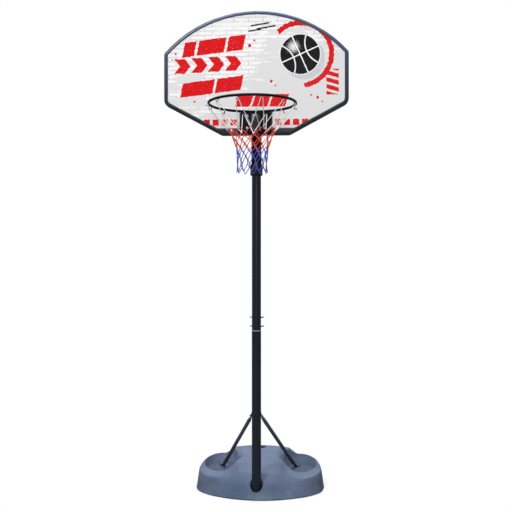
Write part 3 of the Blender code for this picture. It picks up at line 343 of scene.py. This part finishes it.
tank = bmesh.new()
left_edge = [(-x, y) for x, y in reversed(right_edge)]
corners = [front_edge, *right_edge, back_edge, *left_edge]
outline = []
for i in range(len(corners)):
    four = [Vector(corners[(i + k) % len(corners)]) for k in (-1, 0, 1, 2)]
    for step in range(16):
        spot = smooth_spot(*four, step / 16)
        outline.append(tank.verts.new((spot.x + tank_middle.x, spot.y, seam_height)))
seam_top = [tank.edges.new((outline[i - 1], outline[i])) for i in range(len(outline))]

# Rings of the upper side, as shares of the outline: close together on the wall and the lobes,
# and wider apart towards the middle.
outer_rings = 71
inner_rings = 32
rings = [1 - 0.0062 * n for n in range(1, outer_rings + 1)]
rings += [rings[-1] - 0.0168 * n for n in range(1, inner_rings + 1)]
loop = seam_top
reach = 1.0
for share in rings:
    loop, points = grown(tank, loop)
    bmesh.ops.scale(tank, vec=(share / reach, share / reach, 1), verts=list(points),
                    space=Matrix.Translation((-tank_middle.x, -tank_middle.y, 0)))
    reach = share
    for point in points:
        inward = (point.co.xy - tank_middle).length * (1 / share - 1)
        point.co.z = tank_height(point.co.x, point.co.y, inward)
bmesh.ops.contextual_create(tank, geom=loop)

# The seam's bead and the rounded foot below it, each row with its inset and its height.
loop = seam_top
for inset, height in ((-0.0009, 0.0080), (-0.0009, 0.0074), (0.0002, 0.0066), (0.0010, 0.0042),
                      (0.0030, 0.0018), (0.0056, 0.0004), (0.0090, 0.0)):
    loop, points = grown(tank, loop)
    for point in points:
        spot = min(outline, key=lambda edge: (edge.co.xy - point.co.xy).length_squared).co.xy
        spot = spot - (spot - tank_middle).normalized() * inset
        point.co = (spot.x, spot.y, height)
bmesh.ops.contextual_create(tank, geom=loop)
bmesh.ops.recalc_face_normals(tank, faces=tank.faces)
tank_shell = new_piece("tank_shell", tank, "base")

above_tank = 0.3
axle_spot = Vector((tank_middle.x, 0.366, 0.034))
groove_long = 0.436
groove_half = 0.0043
groove_tall = 0.0484
wheel_reach = 0.185
foot_bolt_spot = Vector((0.2015, 0.2991))
filling_spot = Vector((tank_middle.x, 0.335))


def dish_hollow():
    """A bowl whose wall curves up from a flat floor and leans outwards. Its reach is given as a
    share of the dish's."""
    dish = bmesh.new()
    wide = 0.76
    bmesh.ops.create_circle(dish, radius=wide, segments=96)
    loop = dish.edges[:]
    for height, share in ((0.0008, 0.80), (0.0030, 0.855), (0.0075, 0.91), (0.0140, 0.96),
                          (0.0200, 1.0), (0.0500, 1.07), (0.1200, 1.20)):
        loop, points = grown(dish, loop)
        bmesh.ops.scale(dish, vec=(share / wide, share / wide, 1), verts=list(points))
        for point in points:
            point.co.z = height
        wide = share
    bmesh.ops.holes_fill(dish, edges=dish.edges[:])
    bmesh.ops.recalc_face_normals(dish, faces=dish.faces)
    return dish


def round_hole(radius, low, high):
    """The profile of a plain round hole, for spun."""
    return [(0, low), (radius, low), (radius, high), (0, high)]


# Profiles of the turned hollows, each point with its radius and its height.
wheel_well = round_hole(0.035, -0.0135, 0.0135)
foot_bolt_hole = round_hole(0.0043, 0.0557, 0.088)
pole_socket = [(0, 0.012), (0.0233, 0.012), (0.0233, 0.029), (0.0243, 0.030), (0.032, 0.030),
               (0.032, above_tank), (0, above_tank)]
filling_hole = [(0, 0.110), (0.013, 0.110), (0.013, 0.162), (0.022, 0.162), (0.022, above_tank),
                (0, above_tank)]

hollows = []
for side in (-1, 1):
    dish_place = Matrix.Translation((tank_middle.x + side * dish_spot.x, dish_spot.y, dish_floor))
    hollows.append(placed(dish_hollow(), dish_place @ Matrix.Diagonal((*dish_half, 1, 1))))
    wheel_place = Matrix.Translation(axle_spot + Vector((side * wheel_reach, 0, 0)))
    hollows.append(placed(spun(wheel_well, 64), wheel_place @ Matrix.Rotation(math.pi / 2, 4, "Y")))
    bolt_place = Matrix.Translation((side * foot_bolt_spot.x, foot_bolt_spot.y, 0))
    hollows.append(placed(spun(foot_bolt_hole, 24), bolt_place))
hollows.append(spun(pole_socket, 96))
hollows.append(placed(spun(filling_hole, 64), Matrix.Translation((*filling_spot, 0))))
axle_groove = bmesh.new()
bmesh.ops.create_cube(axle_groove, size=1)
groove_middle = axle_spot + Vector((0, 0, groove_half - groove_tall / 2))
groove_size = Matrix.Diagonal((groove_long, 2 * groove_half, groove_tall, 1))
hollows.append(placed(axle_groove, Matrix.Translation(groove_middle) @ groove_size))
carve(tank_shell, hollows, sharp=34)

tank_plastic = Paint("tank_plastic", (98, 111, 136), 0.6, Specular_IOR_Level=0.2)
cloud = tank_plastic.grain(7, 4).eased(0.34, 0.66)
chalk = tank_plastic.grain(5, 5).eased(0.50, 0.66) * tank_plastic.z.eased(0.13, 0.03)
scuff = tank_plastic.grain(55, 6).eased(0.60, 0.78) * tank_plastic.z.eased(0.10, 0.0)
tone = tank_plastic.mixed(cloud, linear(96, 109, 136), linear(108, 121, 147))
# Painted shade: from about 10 cm down to its foot, the tank's colour turns a darker blue-grey, for
# the shade on its lower walls.
painted_low_shade = tank_plastic.mixed(cloud, linear(75, 89, 114), linear(88, 100, 124))
tone = tank_plastic.mixed(tank_plastic.z.eased(0.105, 0.045), tone, painted_low_shade)
tone = tank_plastic.mixed(chalk * 0.7, tone, linear(106, 118, 133))
# Painted shade: the inside of each dish is darkened, in patches, for the shade in the bowl.
across = ((tank_plastic.x - tank_middle.x).size() - dish_spot.x) * (1 / dish_half.x)
along = (tank_plastic.y - dish_spot.y) * (1 / dish_half.y)
in_dish = (across * across + along * along).eased(1.05, 0.80)
painted_dish_shade = in_dish * (tank_plastic.grain(24, 4) * 0.5 + 0.6)
tone = tank_plastic.mixed(painted_dish_shade, tone, linear(78, 86, 104))
tank_plastic.coloured(tank_plastic.mixed(scuff * 0.35, tone, linear(140, 150, 166)))
tank_plastic.roughened(30, 3, 0.14, 0.55)
tank_plastic.embossed(750, 0.00035)
tank_plastic.cover(tank_shell)
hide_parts("base_tank")

# Filling plug
# A black moulded plug with a coin slot, on a flat rubber ring in the hump's back recess.

nodes = frame["nodes"]


def rounded_copy(node, body, width, sharp=35):
    """A copy of a CAD node with its edges rounded, which stands in for the node. The flats of
    its round pieces meet at less than 28 degrees and stay as they are."""
    mesh = bmesh.new()
    mesh.from_mesh(nodes[node].data)
    bmesh.ops.remove_doubles(mesh, verts=mesh.verts, dist=1e-5)
    bmesh.ops.dissolve_limit(mesh, angle_limit=math.radians(0.6), verts=mesh.verts, edges=mesh.edges)
    edges = [edge for edge in mesh.edges
             if edge.is_manifold and edge.calc_face_angle() > math.radians(28)]
    bmesh.ops.bevel(mesh, geom=edges, offset=width, offset_type="OFFSET", segments=2, profile=0.5,
                    affect="EDGES", clamp_overlap=True, material=-1)
    piece = new_piece(f"{node}_rounded", mesh, body, sharp)
    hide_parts(node)
    return piece


black_plastic = Paint("black_plastic", (24, 24, 27), 0.5, Specular_IOR_Level=0.2)
black_plastic.mottled(60, 3, (18, 18, 21), (30, 30, 34))
black_plastic.roughened(120, 3, 0.2, 0.34)
black_plastic.embossed(1400, 0.00012)
fill_cap = rounded_copy("fill_cap", "filling_plug", 0.0006)
black_plastic.cover(fill_cap)

rubber = Paint("rubber", (38, 38, 38), 0.8, Specular_IOR_Level=0.2)
rubber.mottled(200, 2, (30, 30, 30), (46, 45, 44))
rubber.cover(nodes["fill_cap_seal"])

# Transport wheels
# Two black moulded wheels on a zinc-plated rod that snaps into a groove under the back edge.

for side in ("left", "right"):
    wheel = rounded_copy(f"wheel_{side}", f"{side}_wheel", 0.0007)
    black_plastic.cover(wheel)
zinc = Paint("zinc", (186, 188, 194), 0.3, Metallic=1.0)
zinc.mottled(160, 4, (168, 170, 178), (205, 206, 208))
zinc.roughened(420, 4, 0.25, 0.2)
zinc.embossed(900, 0.00006)
zinc.cover(nodes["axle"])

# Poles
# Welded steel tube with a satin powder coat, dark blue-black and faintly dimpled. The lower
# pole stands in the tank, and a bright-edged plastic ring tops it at the sliding joint.

powder_coat = Paint("powder_coat", (28, 34, 46), 0.36, Specular_IOR_Level=0.26)
powder_coat.mottled(25, 4, (25, 31, 42), (32, 38, 50))
powder_coat.roughened(70, 4, 0.14, 0.29)
powder_coat.embossed(520, 0.00004)
powder_coat.cover(nodes["lower_pole"], nodes["upper_pole"])
zinc.cover(nodes["inner_tube"])
black_plastic.cover(nodes["pole_foot_plug"])
ring_plastic = Paint("ring_plastic", (150, 154, 162), 0.3, Specular_IOR_Level=0.3)
ring_plastic.mottled(90, 2, (138, 142, 150), (164, 168, 176))
ring_plastic.cover(nodes["pole_stop_ring"])

# Struts
# The same coated steel in thinner tube, pressed flat at both ends and bolted.

strut_coat = Paint("strut_coat", (26, 33, 46), 0.24, Specular_IOR_Level=1.0)
strut_coat.mottled(40, 4, (23, 29, 41), (31, 38, 53))
strut_coat.roughened(90, 4, 0.12, 0.20)
strut_coat.embossed(520, 0.00005)
strut_coat.cover(nodes["strut_left"], nodes["strut_right"])
zinc.cover(nodes["strut_bolt"], nodes["strut_nut"])
zinc.cover(nodes["foot_bolt_left"], nodes["foot_bolt_right"])

# Wing screws
# Zinc studs with moulded wings, in nuts welded to the back of the upper pole.

for level in ("lower", "upper"):
    zinc.cover(nodes[f"clamp_nut_{level}"], nodes[f"clamp_stud_{level}"])
    knob = rounded_copy(f"clamp_knob_{level}", f"{level}_clamp", 0.0007)
    black_plastic.cover(knob)

# Head tube
# A wider tube with a black coat, in a moulded sleeve, bolted to the board's four steel angles.

black_coat = Paint("black_coat", (12, 12, 15), 0.5, Specular_IOR_Level=0.12)
black_coat.mottled(30, 4, (8, 9, 12), (16, 16, 19))
black_coat.roughened(80, 4, 0.16, 0.42)
black_coat.embossed(520, 0.00008)
black_coat.cover(nodes["head_tube"])
collar = rounded_copy("collar", "head", 0.0009)
cap = rounded_copy("head_tube_cap", "head", 0.0006)
black_plastic.cover(collar, cap)
for level in ("lower", "upper"):
    for side in ("left", "right"):
        angle = rounded_copy(f"{level}_angle_{side}", "head", 0.0006)
        black_coat.cover(angle)
    zinc.cover(nodes[f"head_bolt_{level}"], nodes[f"head_nut_{level}"])
for number in range(1, 5):
    zinc.cover(nodes[f"angle_screw_{number}"])

# Backboard
# A moulded tray, dark blue-grey and satin, with a raised rim round its recess.

board_plastic = Paint("board_plastic", (44, 51, 68), 0.36, Specular_IOR_Level=0.45)
# Painted light and shade: the colour goes from near black at the bottom of the board to a light
# steel blue at its top, for the light from above.
painted_top_light = board_plastic.z.eased(1.80, 2.36)
tone = board_plastic.mixed(painted_top_light, linear(15, 18, 26), linear(72, 85, 113))
board_plastic.coloured(board_plastic.mixed(
    board_plastic.grain(14, 3) * 0.16, tone, linear(90, 98, 116)))
board_plastic.roughened(60, 3, 0.18, 0.28)
board_plastic.embossed(900, 0.0001)
board_tray = rounded_copy("board_shell", "head", 0.0008, sharp=50)
board_plastic.cover(board_tray)

# Printed face
# A thin glossy sheet in the recess: pale worn brickwork, torn red bars and chevrons, a black
# ball and drops of red, all in flat ink.

print_face = Paint("print_face", (240, 240, 240), 0.35, Specular_IOR_Level=0.12)
x = print_face.x
z = print_face.z
face_place = print_face.node("ShaderNodeCombineXYZ", "Vector", {"X": x, "Y": z, "Z": 0.0})
long_place = print_face.node("ShaderNodeCombineXYZ", "Vector", {"X": x * 0.22, "Y": z, "Z": 0.0})
torn = print_face.grain(75, 6, face_place) - 0.5
speckle = print_face.grain(260, 3, face_place)
ball_spot = Vector((0.215, 2.170))
ball_tilt = 24
seam_circle = Vector((0.1297, 0.0577))


def turned_about(centre, degrees):
    """Coordinates along and across a line through centre."""
    slope = math.radians(degrees)
    right = x - centre[0]
    up = z - centre[1]
    return (right * math.cos(slope) + up * math.sin(slope),
            up * math.cos(slope) - right * math.sin(slope))


def bar(centre, half_long, half_tall, degrees, lean=0.0, slots=()):
    """How far outside a slanting bar a point lies, in metres. Each narrow slot through the bar
    has its distance along it and its half width."""
    along, across = turned_about(centre, degrees)
    along = along - across * lean
    outside = (along.size() - half_long).most(across.size() - half_tall)
    for place, width in slots:
        outside = outside.most((along - place).size() * -1.0 + width)
    return outside


def disc(centre, radius):
    """How far outside a disc a point lies, in metres."""
    right = x - centre[0]
    up = z - centre[1]
    return (right * right + up * up).root() - radius


def chevron(centre, half_wide, half_tall):
    """How far outside an arrowhead that points right a point lies."""
    right = x - centre[0]
    up = z - centre[1]
    return ((right + up.size() * 0.8).size() - half_wide).most(up.size() - half_tall)


def dashes(run, per_metre, half):
    """How far outside the nearest of a row of dashes a point lies, from its place along them."""
    return ((run * per_metre).part() - 0.5).size() * (1 / per_metre) - half


def either(*shapes):
    """How far outside the nearest of these shapes a point lies."""
    nearest = shapes[0]
    for shape in shapes[1:]:
        nearest = nearest.least(shape)
    return nearest


def inked(outside, tear=0.012):
    """1 inside a shape, with a torn edge."""
    return (outside + torn * tear).eased(0.0006, -0.0006)


mortar = print_face.node("ShaderNodeTexBrick", "Fac", {
    "Vector": face_place, "Scale": 1.0, "Mortar Size": 0.0026, "Mortar Smooth": 0.3,
    "Brick Width": 0.071, "Row Height": 0.0212}, offset=0.5)
rolled = print_face.grain(26, 6, long_place)
to_left = x.eased(0.16, -0.20)
to_top = z.eased(1.98, 2.12) + z.eased(2.12, 2.24) * 0.55
patches = print_face.grain(3.2, 4, face_place) * 0.30
whitened = (rolled + to_left * 0.22 + to_top * 0.17 + patches).eased(0.90, 0.93)
worn_lines = mortar * print_face.grain(18, 5, face_place).eased(0.36, 0.46)
pale = print_face.mixed(worn_lines, linear(251, 251, 251), linear(218, 218, 221))
ground = print_face.mixed(whitened, linear(230, 230, 231), pale)

# Each bar has its centre, half its length and height, its slope, its lean and its slots.
red_bars = either(
    bar((-0.205, 2.215), 0.150, 0.036, 7, 0.32, ((-0.085, 0.006), (0.062, 0.006))),
    bar((-0.215, 2.018), 0.150, 0.034, 7, 0.32, ((0.015, 0.006),)),
    *(chevron((-0.345 + 0.083 * n, 2.118 + 0.004 * n), 0.026, 0.036) for n in range(4)),
    bar((0.030, 1.948), 0.122, 0.030, 0, 0.32, ((-0.045, 0.005), (0.040, 0.005))))
low_strip = dashes(x, 23.0, 0.0150).most((z - 1.842).size() - 0.015)
low_strip = low_strip.most(x.size() - 0.255).most(x.size() * -1.0 + 0.088)
side_strip = dashes(z + x * 0.3, 30.0, 0.0105)
side_strip = side_strip.most((x - 0.372).size() - 0.030).most((z - 2.035).size() - 0.062)
left_below = (x * 0.9 + z * 0.44 - 1.100) * -1.0
hoop = (disc(ball_spot, 0.152).size() - 0.0125).most(left_below)
drops = either(*(disc(spot, radius) for spot, radius in (
    ((-0.030, 2.215), 0.008), ((-0.008, 2.240), 0.005), ((-0.052, 2.250), 0.0035),
    ((0.075, 2.040), 0.007), ((0.095, 2.020), 0.004), ((0.300, 1.960), 0.007),
    ((0.322, 1.940), 0.004), ((0.268, 1.972), 0.0045), ((-0.392, 2.180), 0.005),
    ((-0.410, 2.150), 0.0035), ((0.052, 2.300), 0.004), ((-0.300, 1.945), 0.005))))
red = inked(red_bars).most(inked(low_strip, 0.008)).most(inked(side_strip, 0.008))
red = red.most(inked(hoop, 0.016)).most(inked(drops, 0.005)) * speckle.eased(0.29, 0.33)

along, across = turned_about(ball_spot, ball_tilt)
ball = disc(ball_spot, 0.096)
seams = either(along.size(), across.size(), disc(ball_spot + seam_circle, 0.107).size(),
               disc(ball_spot - seam_circle, 0.107).size()) - 0.0030
shine = disc(ball_spot + Vector((-0.033, 0.037)), 0.054)
stipple = (print_face.grain(420, 2, face_place) - shine * 9.0).eased(0.78, 0.82)
black = inked(ball, 0.004) * (inked(seams, 0.003) * -1.0 + 1.0) * (stipple * -0.9 + 1.0)
shade = inked(disc(ball_spot + Vector((0.020, -0.023)), 0.100), 0.006)
slash = either(bar((0.020, 2.318), 0.046, 0.0036, 9), bar((0.050, 2.303), 0.046, 0.0036, 9),
               bar((-0.005, 2.290), 0.032, 0.0036, 9))
face = print_face.mixed(shade * 0.7, ground, linear(200, 201, 206))
face = print_face.mixed(red, face, linear(224, 8, 22))
halo = inked(ball - 0.004, 0.004)
face = print_face.mixed(halo, face, linear(250, 250, 250))
face = print_face.mixed(black.most(inked(slash, 0.004)), face, linear(18, 18, 20))
print_face.coloured(face)
print_face.roughened(40, 3, 0.12, 0.30)
print_face.embossed(300, 0.00004)
print_face.cover(nodes["board_panel"])

# Rim and its bracket
# A bent rod, a pressed plate and a folded web, welded together and coated black. Four bright
# bolts go through to the lower angles.

black_coat.cover(nodes["rim_ring"])
bracket_plate = rounded_copy("rim_plate", "head", 0.0009)
bracket_web = rounded_copy("rim_gusset", "head", 0.0006)
black_coat.cover(bracket_plate)
# Painted light: the web is coated black like the plate, but its colour is a mid grey for the light
# on its underside.
web_coat_painted_light = Paint("web_coat_painted_light", (66, 65, 74), 0.45, Specular_IOR_Level=0.3)
# Painted highlights: near-white lines along the web's two lower edges and its nose, broken up by
# noise.
from_nose = web_coat_painted_light.y + 0.152
half_web = from_nose * 0.1798 + 0.009
web_bottom = from_nose * -0.6931 + 1.8607
off_side = (web_coat_painted_light.x.size() - half_web).size()
off_bottom = (web_coat_painted_light.z - web_bottom).size()
painted_edge_glint = off_side.eased(0.0036, 0.0024) * off_bottom.eased(0.0040, 0.0026)
painted_nose_glint = from_nose.size().eased(0.0040, 0.0026) * off_bottom.eased(0.0050, 0.0036)
tone = web_coat_painted_light.mixed(web_coat_painted_light.grain(60, 4), linear(62, 61, 69), linear(80, 79, 89))
bright = painted_edge_glint.most(painted_nose_glint) * web_coat_painted_light.grain(240, 4).eased(0.25, 0.42)
web_coat_painted_light.coloured(web_coat_painted_light.mixed(bright, tone, linear(214, 216, 222)))
web_coat_painted_light.embossed(520, 0.00008)
web_coat_painted_light.cover(bracket_web)
for number in range(1, 5):
    zinc.cover(nodes[f"rim_bolt_{number}"], nodes[f"rim_nut_{number}"])

# Net
# Three-strand twisted cord, knotted by hand: white loops over the hooks, then red and blue.
# The lowest loops hang free.

cord_width = 0.0038
strand_radius = cord_width * 0.27
strand_step = 0.0028
twist_length = 0.016
loops = 12
rim_reach = 0.342
rim_middle = Vector((0, -rim_reach, 1.877))
rows = ((0.016, 0.2015), (0.115, 0.113), (0.142, 0.093), (0.170, 0.081), (0.201, 0.071),
        (0.227, 0.068), (0.262, 0.067), (0.309, 0.0705))
lowest = len(rows) - 1

# The knots of every row, each row with its drop below the ring and its radius. They stray a
# little, but for the top row on the hooks.
rng = random.Random(8)
knots = {}
for row, (drop, radius) in enumerate(rows):
    for column in range(loops):
        angle = math.tau * (column + 0.5 + (row % 2) / 2) / loops
        stray = 0 if row == 0 else 0.0016
        wide = radius + rng.uniform(-stray, stray)
        angle += rng.uniform(-stray, stray) / radius
        knots[row, column] = rim_middle + Vector((
            wide * math.sin(angle), -wide * math.cos(angle), -drop + rng.uniform(-stray, stray)))


def upward(height):
    return Vector((0, 0, height))


def outward(spot, up=0):
    """The level heading from the ring's middle to a spot, or one that leans up."""
    return Vector((spot.x, spot.y + rim_reach, up)).normalized()


def sideways(start, end):
    """The level part of the way from start to end."""
    return Vector((end.x - start.x, end.y - start.y, 0))


def bowed(start, end, bow, steps):
    """Points from start to end that hang or bulge by bow at the middle."""
    shares = [i / steps for i in range(steps + 1)]
    return [start.lerp(end, share) + bow * 4 * share * (1 - share) for share in shares]


def off_hook(start, end, bow):
    """A run that lies over a hook, leaves it at the side that end is on and goes on to end."""
    along = outward(start).cross(upward(1))
    if along.dot(sideways(start, end)) < 0:
        along = -along
    leg = start + along * 0.0058 + upward(-0.003)
    return [start + upward(0.0038), start + along * 0.0032 + upward(0.003),
            *bowed(leg, end, bow, 6)]


def half_loop(start, end):
    """A run that swings out and turns level just under end, where its other half meets it."""
    level = sideways(start, end)
    low = end + upward(-0.001)
    return [*bowed(start, low.lerp(start, 0.25) - level * 0.16, level * -0.22, 6),
            low.lerp(start, 0.07) - level * 0.14, low.lerp(start, 0.015) - level * 0.07, low]


def wound(strands, frames, radius):
    """Adds a thread that winds round (point, side, other side, angle) frames to a curve."""
    spline = strands.splines.new("POLY")
    spline.points.add(len(frames) - 1)
    for spot, (point, side, other, angle) in zip(spline.points, frames):
        spot.co = (*(point + (side * math.cos(angle) + other * math.sin(angle)) * radius), 1)


def twist(strands, path):
    """Adds three strands that wind round the path."""
    dense = [path[0]]
    for start, end in zip(path, path[1:]):
        count = max(1, round((end - start).length / strand_step))
        dense += [start.lerp(end, (k + 1) / count) for k in range(count)]
    run = 0.0
    frames = []
    side = (dense[1] - dense[0]).orthogonal().normalized()
    for before, point, after in zip([dense[0]] + dense, dense, dense[1:] + [dense[-1]]):
        ahead = (after - before).normalized()
        side = (side - ahead * side.dot(ahead)).normalized()
        frames.append((point, side, ahead.cross(side), math.tau * run / twist_length))
        run += (after - point).length
    for strand in range(3):
        wound(strands, [(*frame[:3], frame[3] + math.tau * strand / 3) for frame in frames],
              strand_radius)


def knot_wraps(strands, centre, axis):
    """Adds a short coil, nine points a turn, round the crossing of two cords."""
    side = axis.orthogonal().normalized()
    other = axis.cross(side)
    last = 21
    coil = [(centre + axis * (i / last - 0.5) * cord_width * 1.3, side, other, math.tau * i / 9)
            for i in range(last + 1)]
    wound(strands, coil, cord_width * 0.72)


# Each band has the rows of knots where it begins and ends, its colour and its darker tone.
for name, first, last, colour, darker in (
        ("cord_white", 0, 1, (246, 246, 246), (226, 227, 230)),
        ("cord_red", 1, 4, (238, 74, 48), (208, 46, 32)),
        ("cord_blue", 4, 7, (92, 102, 206), (62, 72, 172))):
    strands = bpy.data.curves.new(name, "CURVE")
    strands.dimensions = "3D"
    strands.bevel_depth = strand_radius
    strands.bevel_resolution = 1
    strands.use_fill_caps = True
    for row in range(first, last):
        for column in range(loops):
            start = knots[row, column]
            for next_column in (column - 1 + row % 2, column + row % 2):
                end = knots[row + 1, next_column % loops]
                bow = outward(start) * rng.uniform(-0.002, 0.003) - upward(rng.uniform(0.0, 0.002))
                if row == 0:
                    twist(strands, off_hook(start, end, bow))
                elif row == lowest - 1:
                    twist(strands, half_loop(start, end))
                else:
                    twist(strands, bowed(start, end, bow, 5))
    for (row, column), centre in knots.items():
        if first < row <= last and row < lowest:
            knot_wraps(strands, centre, (knots[row - 1, column] - centre).normalized())
            knot_wraps(strands, centre, outward(centre, 0.2))
    source = bpy.data.objects.new(name, strands)
    bpy.context.scene.collection.objects.link(source)
    made = finished_mesh(source)
    bpy.data.objects.remove(source)
    net = bpy.data.objects.new(name, made)
    bpy.context.scene.collection.objects.link(net)
    made.shade_smooth()
    fibre = Paint(name, colour, 0.75, Sheen_Weight=0.25)
    tone = fibre.mixed(fibre.grain(90, 3), linear(*darker), linear(*colour))
    fibre.coloured(fibre.mixed(fibre.grain(1500, 2).eased(0.5, 0.75) * 0.35, tone, linear(*darker)))
    fibre.embossed(2600, 0.0001)
    fibre.cover(net)
    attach(net, "head")
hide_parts("net_white")
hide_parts("net_red")
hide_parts("net_blue")

# Studio
# A white floor that keeps a soft shadow near the stand, and a white surround. Four lamps light
# it: a strong one in front on the left, a weak one in front, one above and one behind.

ground_mesh = bmesh.new()
bmesh.ops.create_grid(ground_mesh, x_segments=1, y_segments=1, size=14)
floor = new_piece("studio_floor", ground_mesh, None)
floor_paint = Paint("studio_floor", (242, 242, 242), 0.9, Specular_IOR_Level=0.0)
floor_paint.mottled(3, 2, (241, 241, 241), (243, 243, 243))
from_stand = (floor_paint.x * floor_paint.x + floor_paint.y * floor_paint.y).root()
away = from_stand.eased(0.5, 1.3)


def ray_is(tree, *kinds):
    """1 for rays of these kinds."""
    rays = tree.nodes.new("ShaderNodeLightPath")
    share = rays.outputs[kinds[0]]
    for kind in kinds[1:]:
        most = tree.nodes.new("ShaderNodeMath")
        most.operation = "MAXIMUM"
        tree.links.new(share, most.inputs[0])
        tree.links.new(rays.outputs[kind], most.inputs[1])
        share = most.outputs[0]
    return share


def mixed_shaders(tree, share, first, second):
    """A shader that goes from the first to the second with share."""
    mix = tree.nodes.new("ShaderNodeMixShader")
    for slot, output in zip(mix.inputs, (share, first, second)):
        tree.links.new(output, slot)
    return mix.outputs[0]


def seen_or_met(tree, seen, met, surface):
    """Shows the camera one shader, and has all light from lamps and pieces meet the other."""
    to_camera = ray_is(tree, "Is Camera Ray", "Is Transmission Ray")
    tree.links.new(mixed_shaders(tree, to_camera, met, seen), surface.inputs["Surface"])


tree = floor_paint.tree
glow = tree.nodes.new("ShaderNodeEmission")
grey = tree.nodes.new("ShaderNodeBsdfDiffuse")
grey.inputs["Color"].default_value = (0.3, 0.3, 0.3, 1)
white = mixed_shaders(tree, (away * 0.38 + 0.62).output, floor_paint.shader.outputs[0],
                      glow.outputs[0])
seen_or_met(tree, white, grey.outputs[0], tree.nodes["Material Output"])
floor_paint.cover(floor)

surround = bpy.data.worlds.new("studio")
surround.use_nodes = True
bpy.context.scene.world = surround
tree = surround.node_tree
toward = tree.nodes.new("ShaderNodeTexCoord")
heading = tree.nodes.new("ShaderNodeSeparateXYZ")
tree.links.new(toward.outputs["Generated"], heading.inputs[0])


def surround_light(axis, low, high, least, most):
    """White light that grows from least to most with the heading along an axis."""
    ramp = tree.nodes.new("ShaderNodeMapRange")
    tree.links.new(heading.outputs[axis], ramp.inputs["Value"])
    for label, value in (("From Min", low), ("From Max", high), ("To Min", least), ("To Max", most)):
        ramp.inputs[label].default_value = value
    light = tree.nodes.new("ShaderNodeBackground")
    light.inputs["Color"].default_value = (1, 1, 1, 1)
    tree.links.new(ramp.outputs["Result"], light.inputs["Strength"])
    return light.outputs[0]


backdrop = tree.nodes["Background"]
backdrop.inputs["Color"].default_value = (1, 1, 1, 1)
# What the pieces mirror is a grey surround, lighter behind the stand. What lights them softly
# is lighter above.
mirrored = surround_light("Y", -0.6, 0.5, 0.28, 0.45)
scattered = surround_light("Z", -0.15, 0.35, 0.06, 0.38)
soft_light = mixed_shaders(tree, ray_is(tree, "Is Glossy Ray"), scattered, mirrored)
seen_or_met(tree, backdrop.outputs[0], soft_light, tree.nodes["World Output"])

for name, place, aim, wide, deep, power in (
        ("key", (-3.2, -5.5, 6.5), (0, 0, 1.2), 3.0, 3.0, 350),
        ("front", (0.6, -4.2, 2.4), (0, 0, 2.1), 1.6, 1.6, 36),
        ("above", (0.0, -0.12, 4.0), (0, -0.12, 0), 2.2, 0.6, 42),
        ("behind", (0.2, 2.4, 5.2), (0, 0.1, 0.6), 3.0, 3.0, 145)):
    lamp = bpy.data.lights.new(name, "AREA")
    lamp.shape = "RECTANGLE"
    lamp.size = wide
    lamp.size_y = deep
    lamp.energy = power
    light = bpy.data.objects.new(name, lamp)
    bpy.context.scene.collection.objects.link(light)
    light.location = place
    light.rotation_euler = (Vector(aim) - Vector(place)).to_track_quat("-Z", "Y").to_euler()
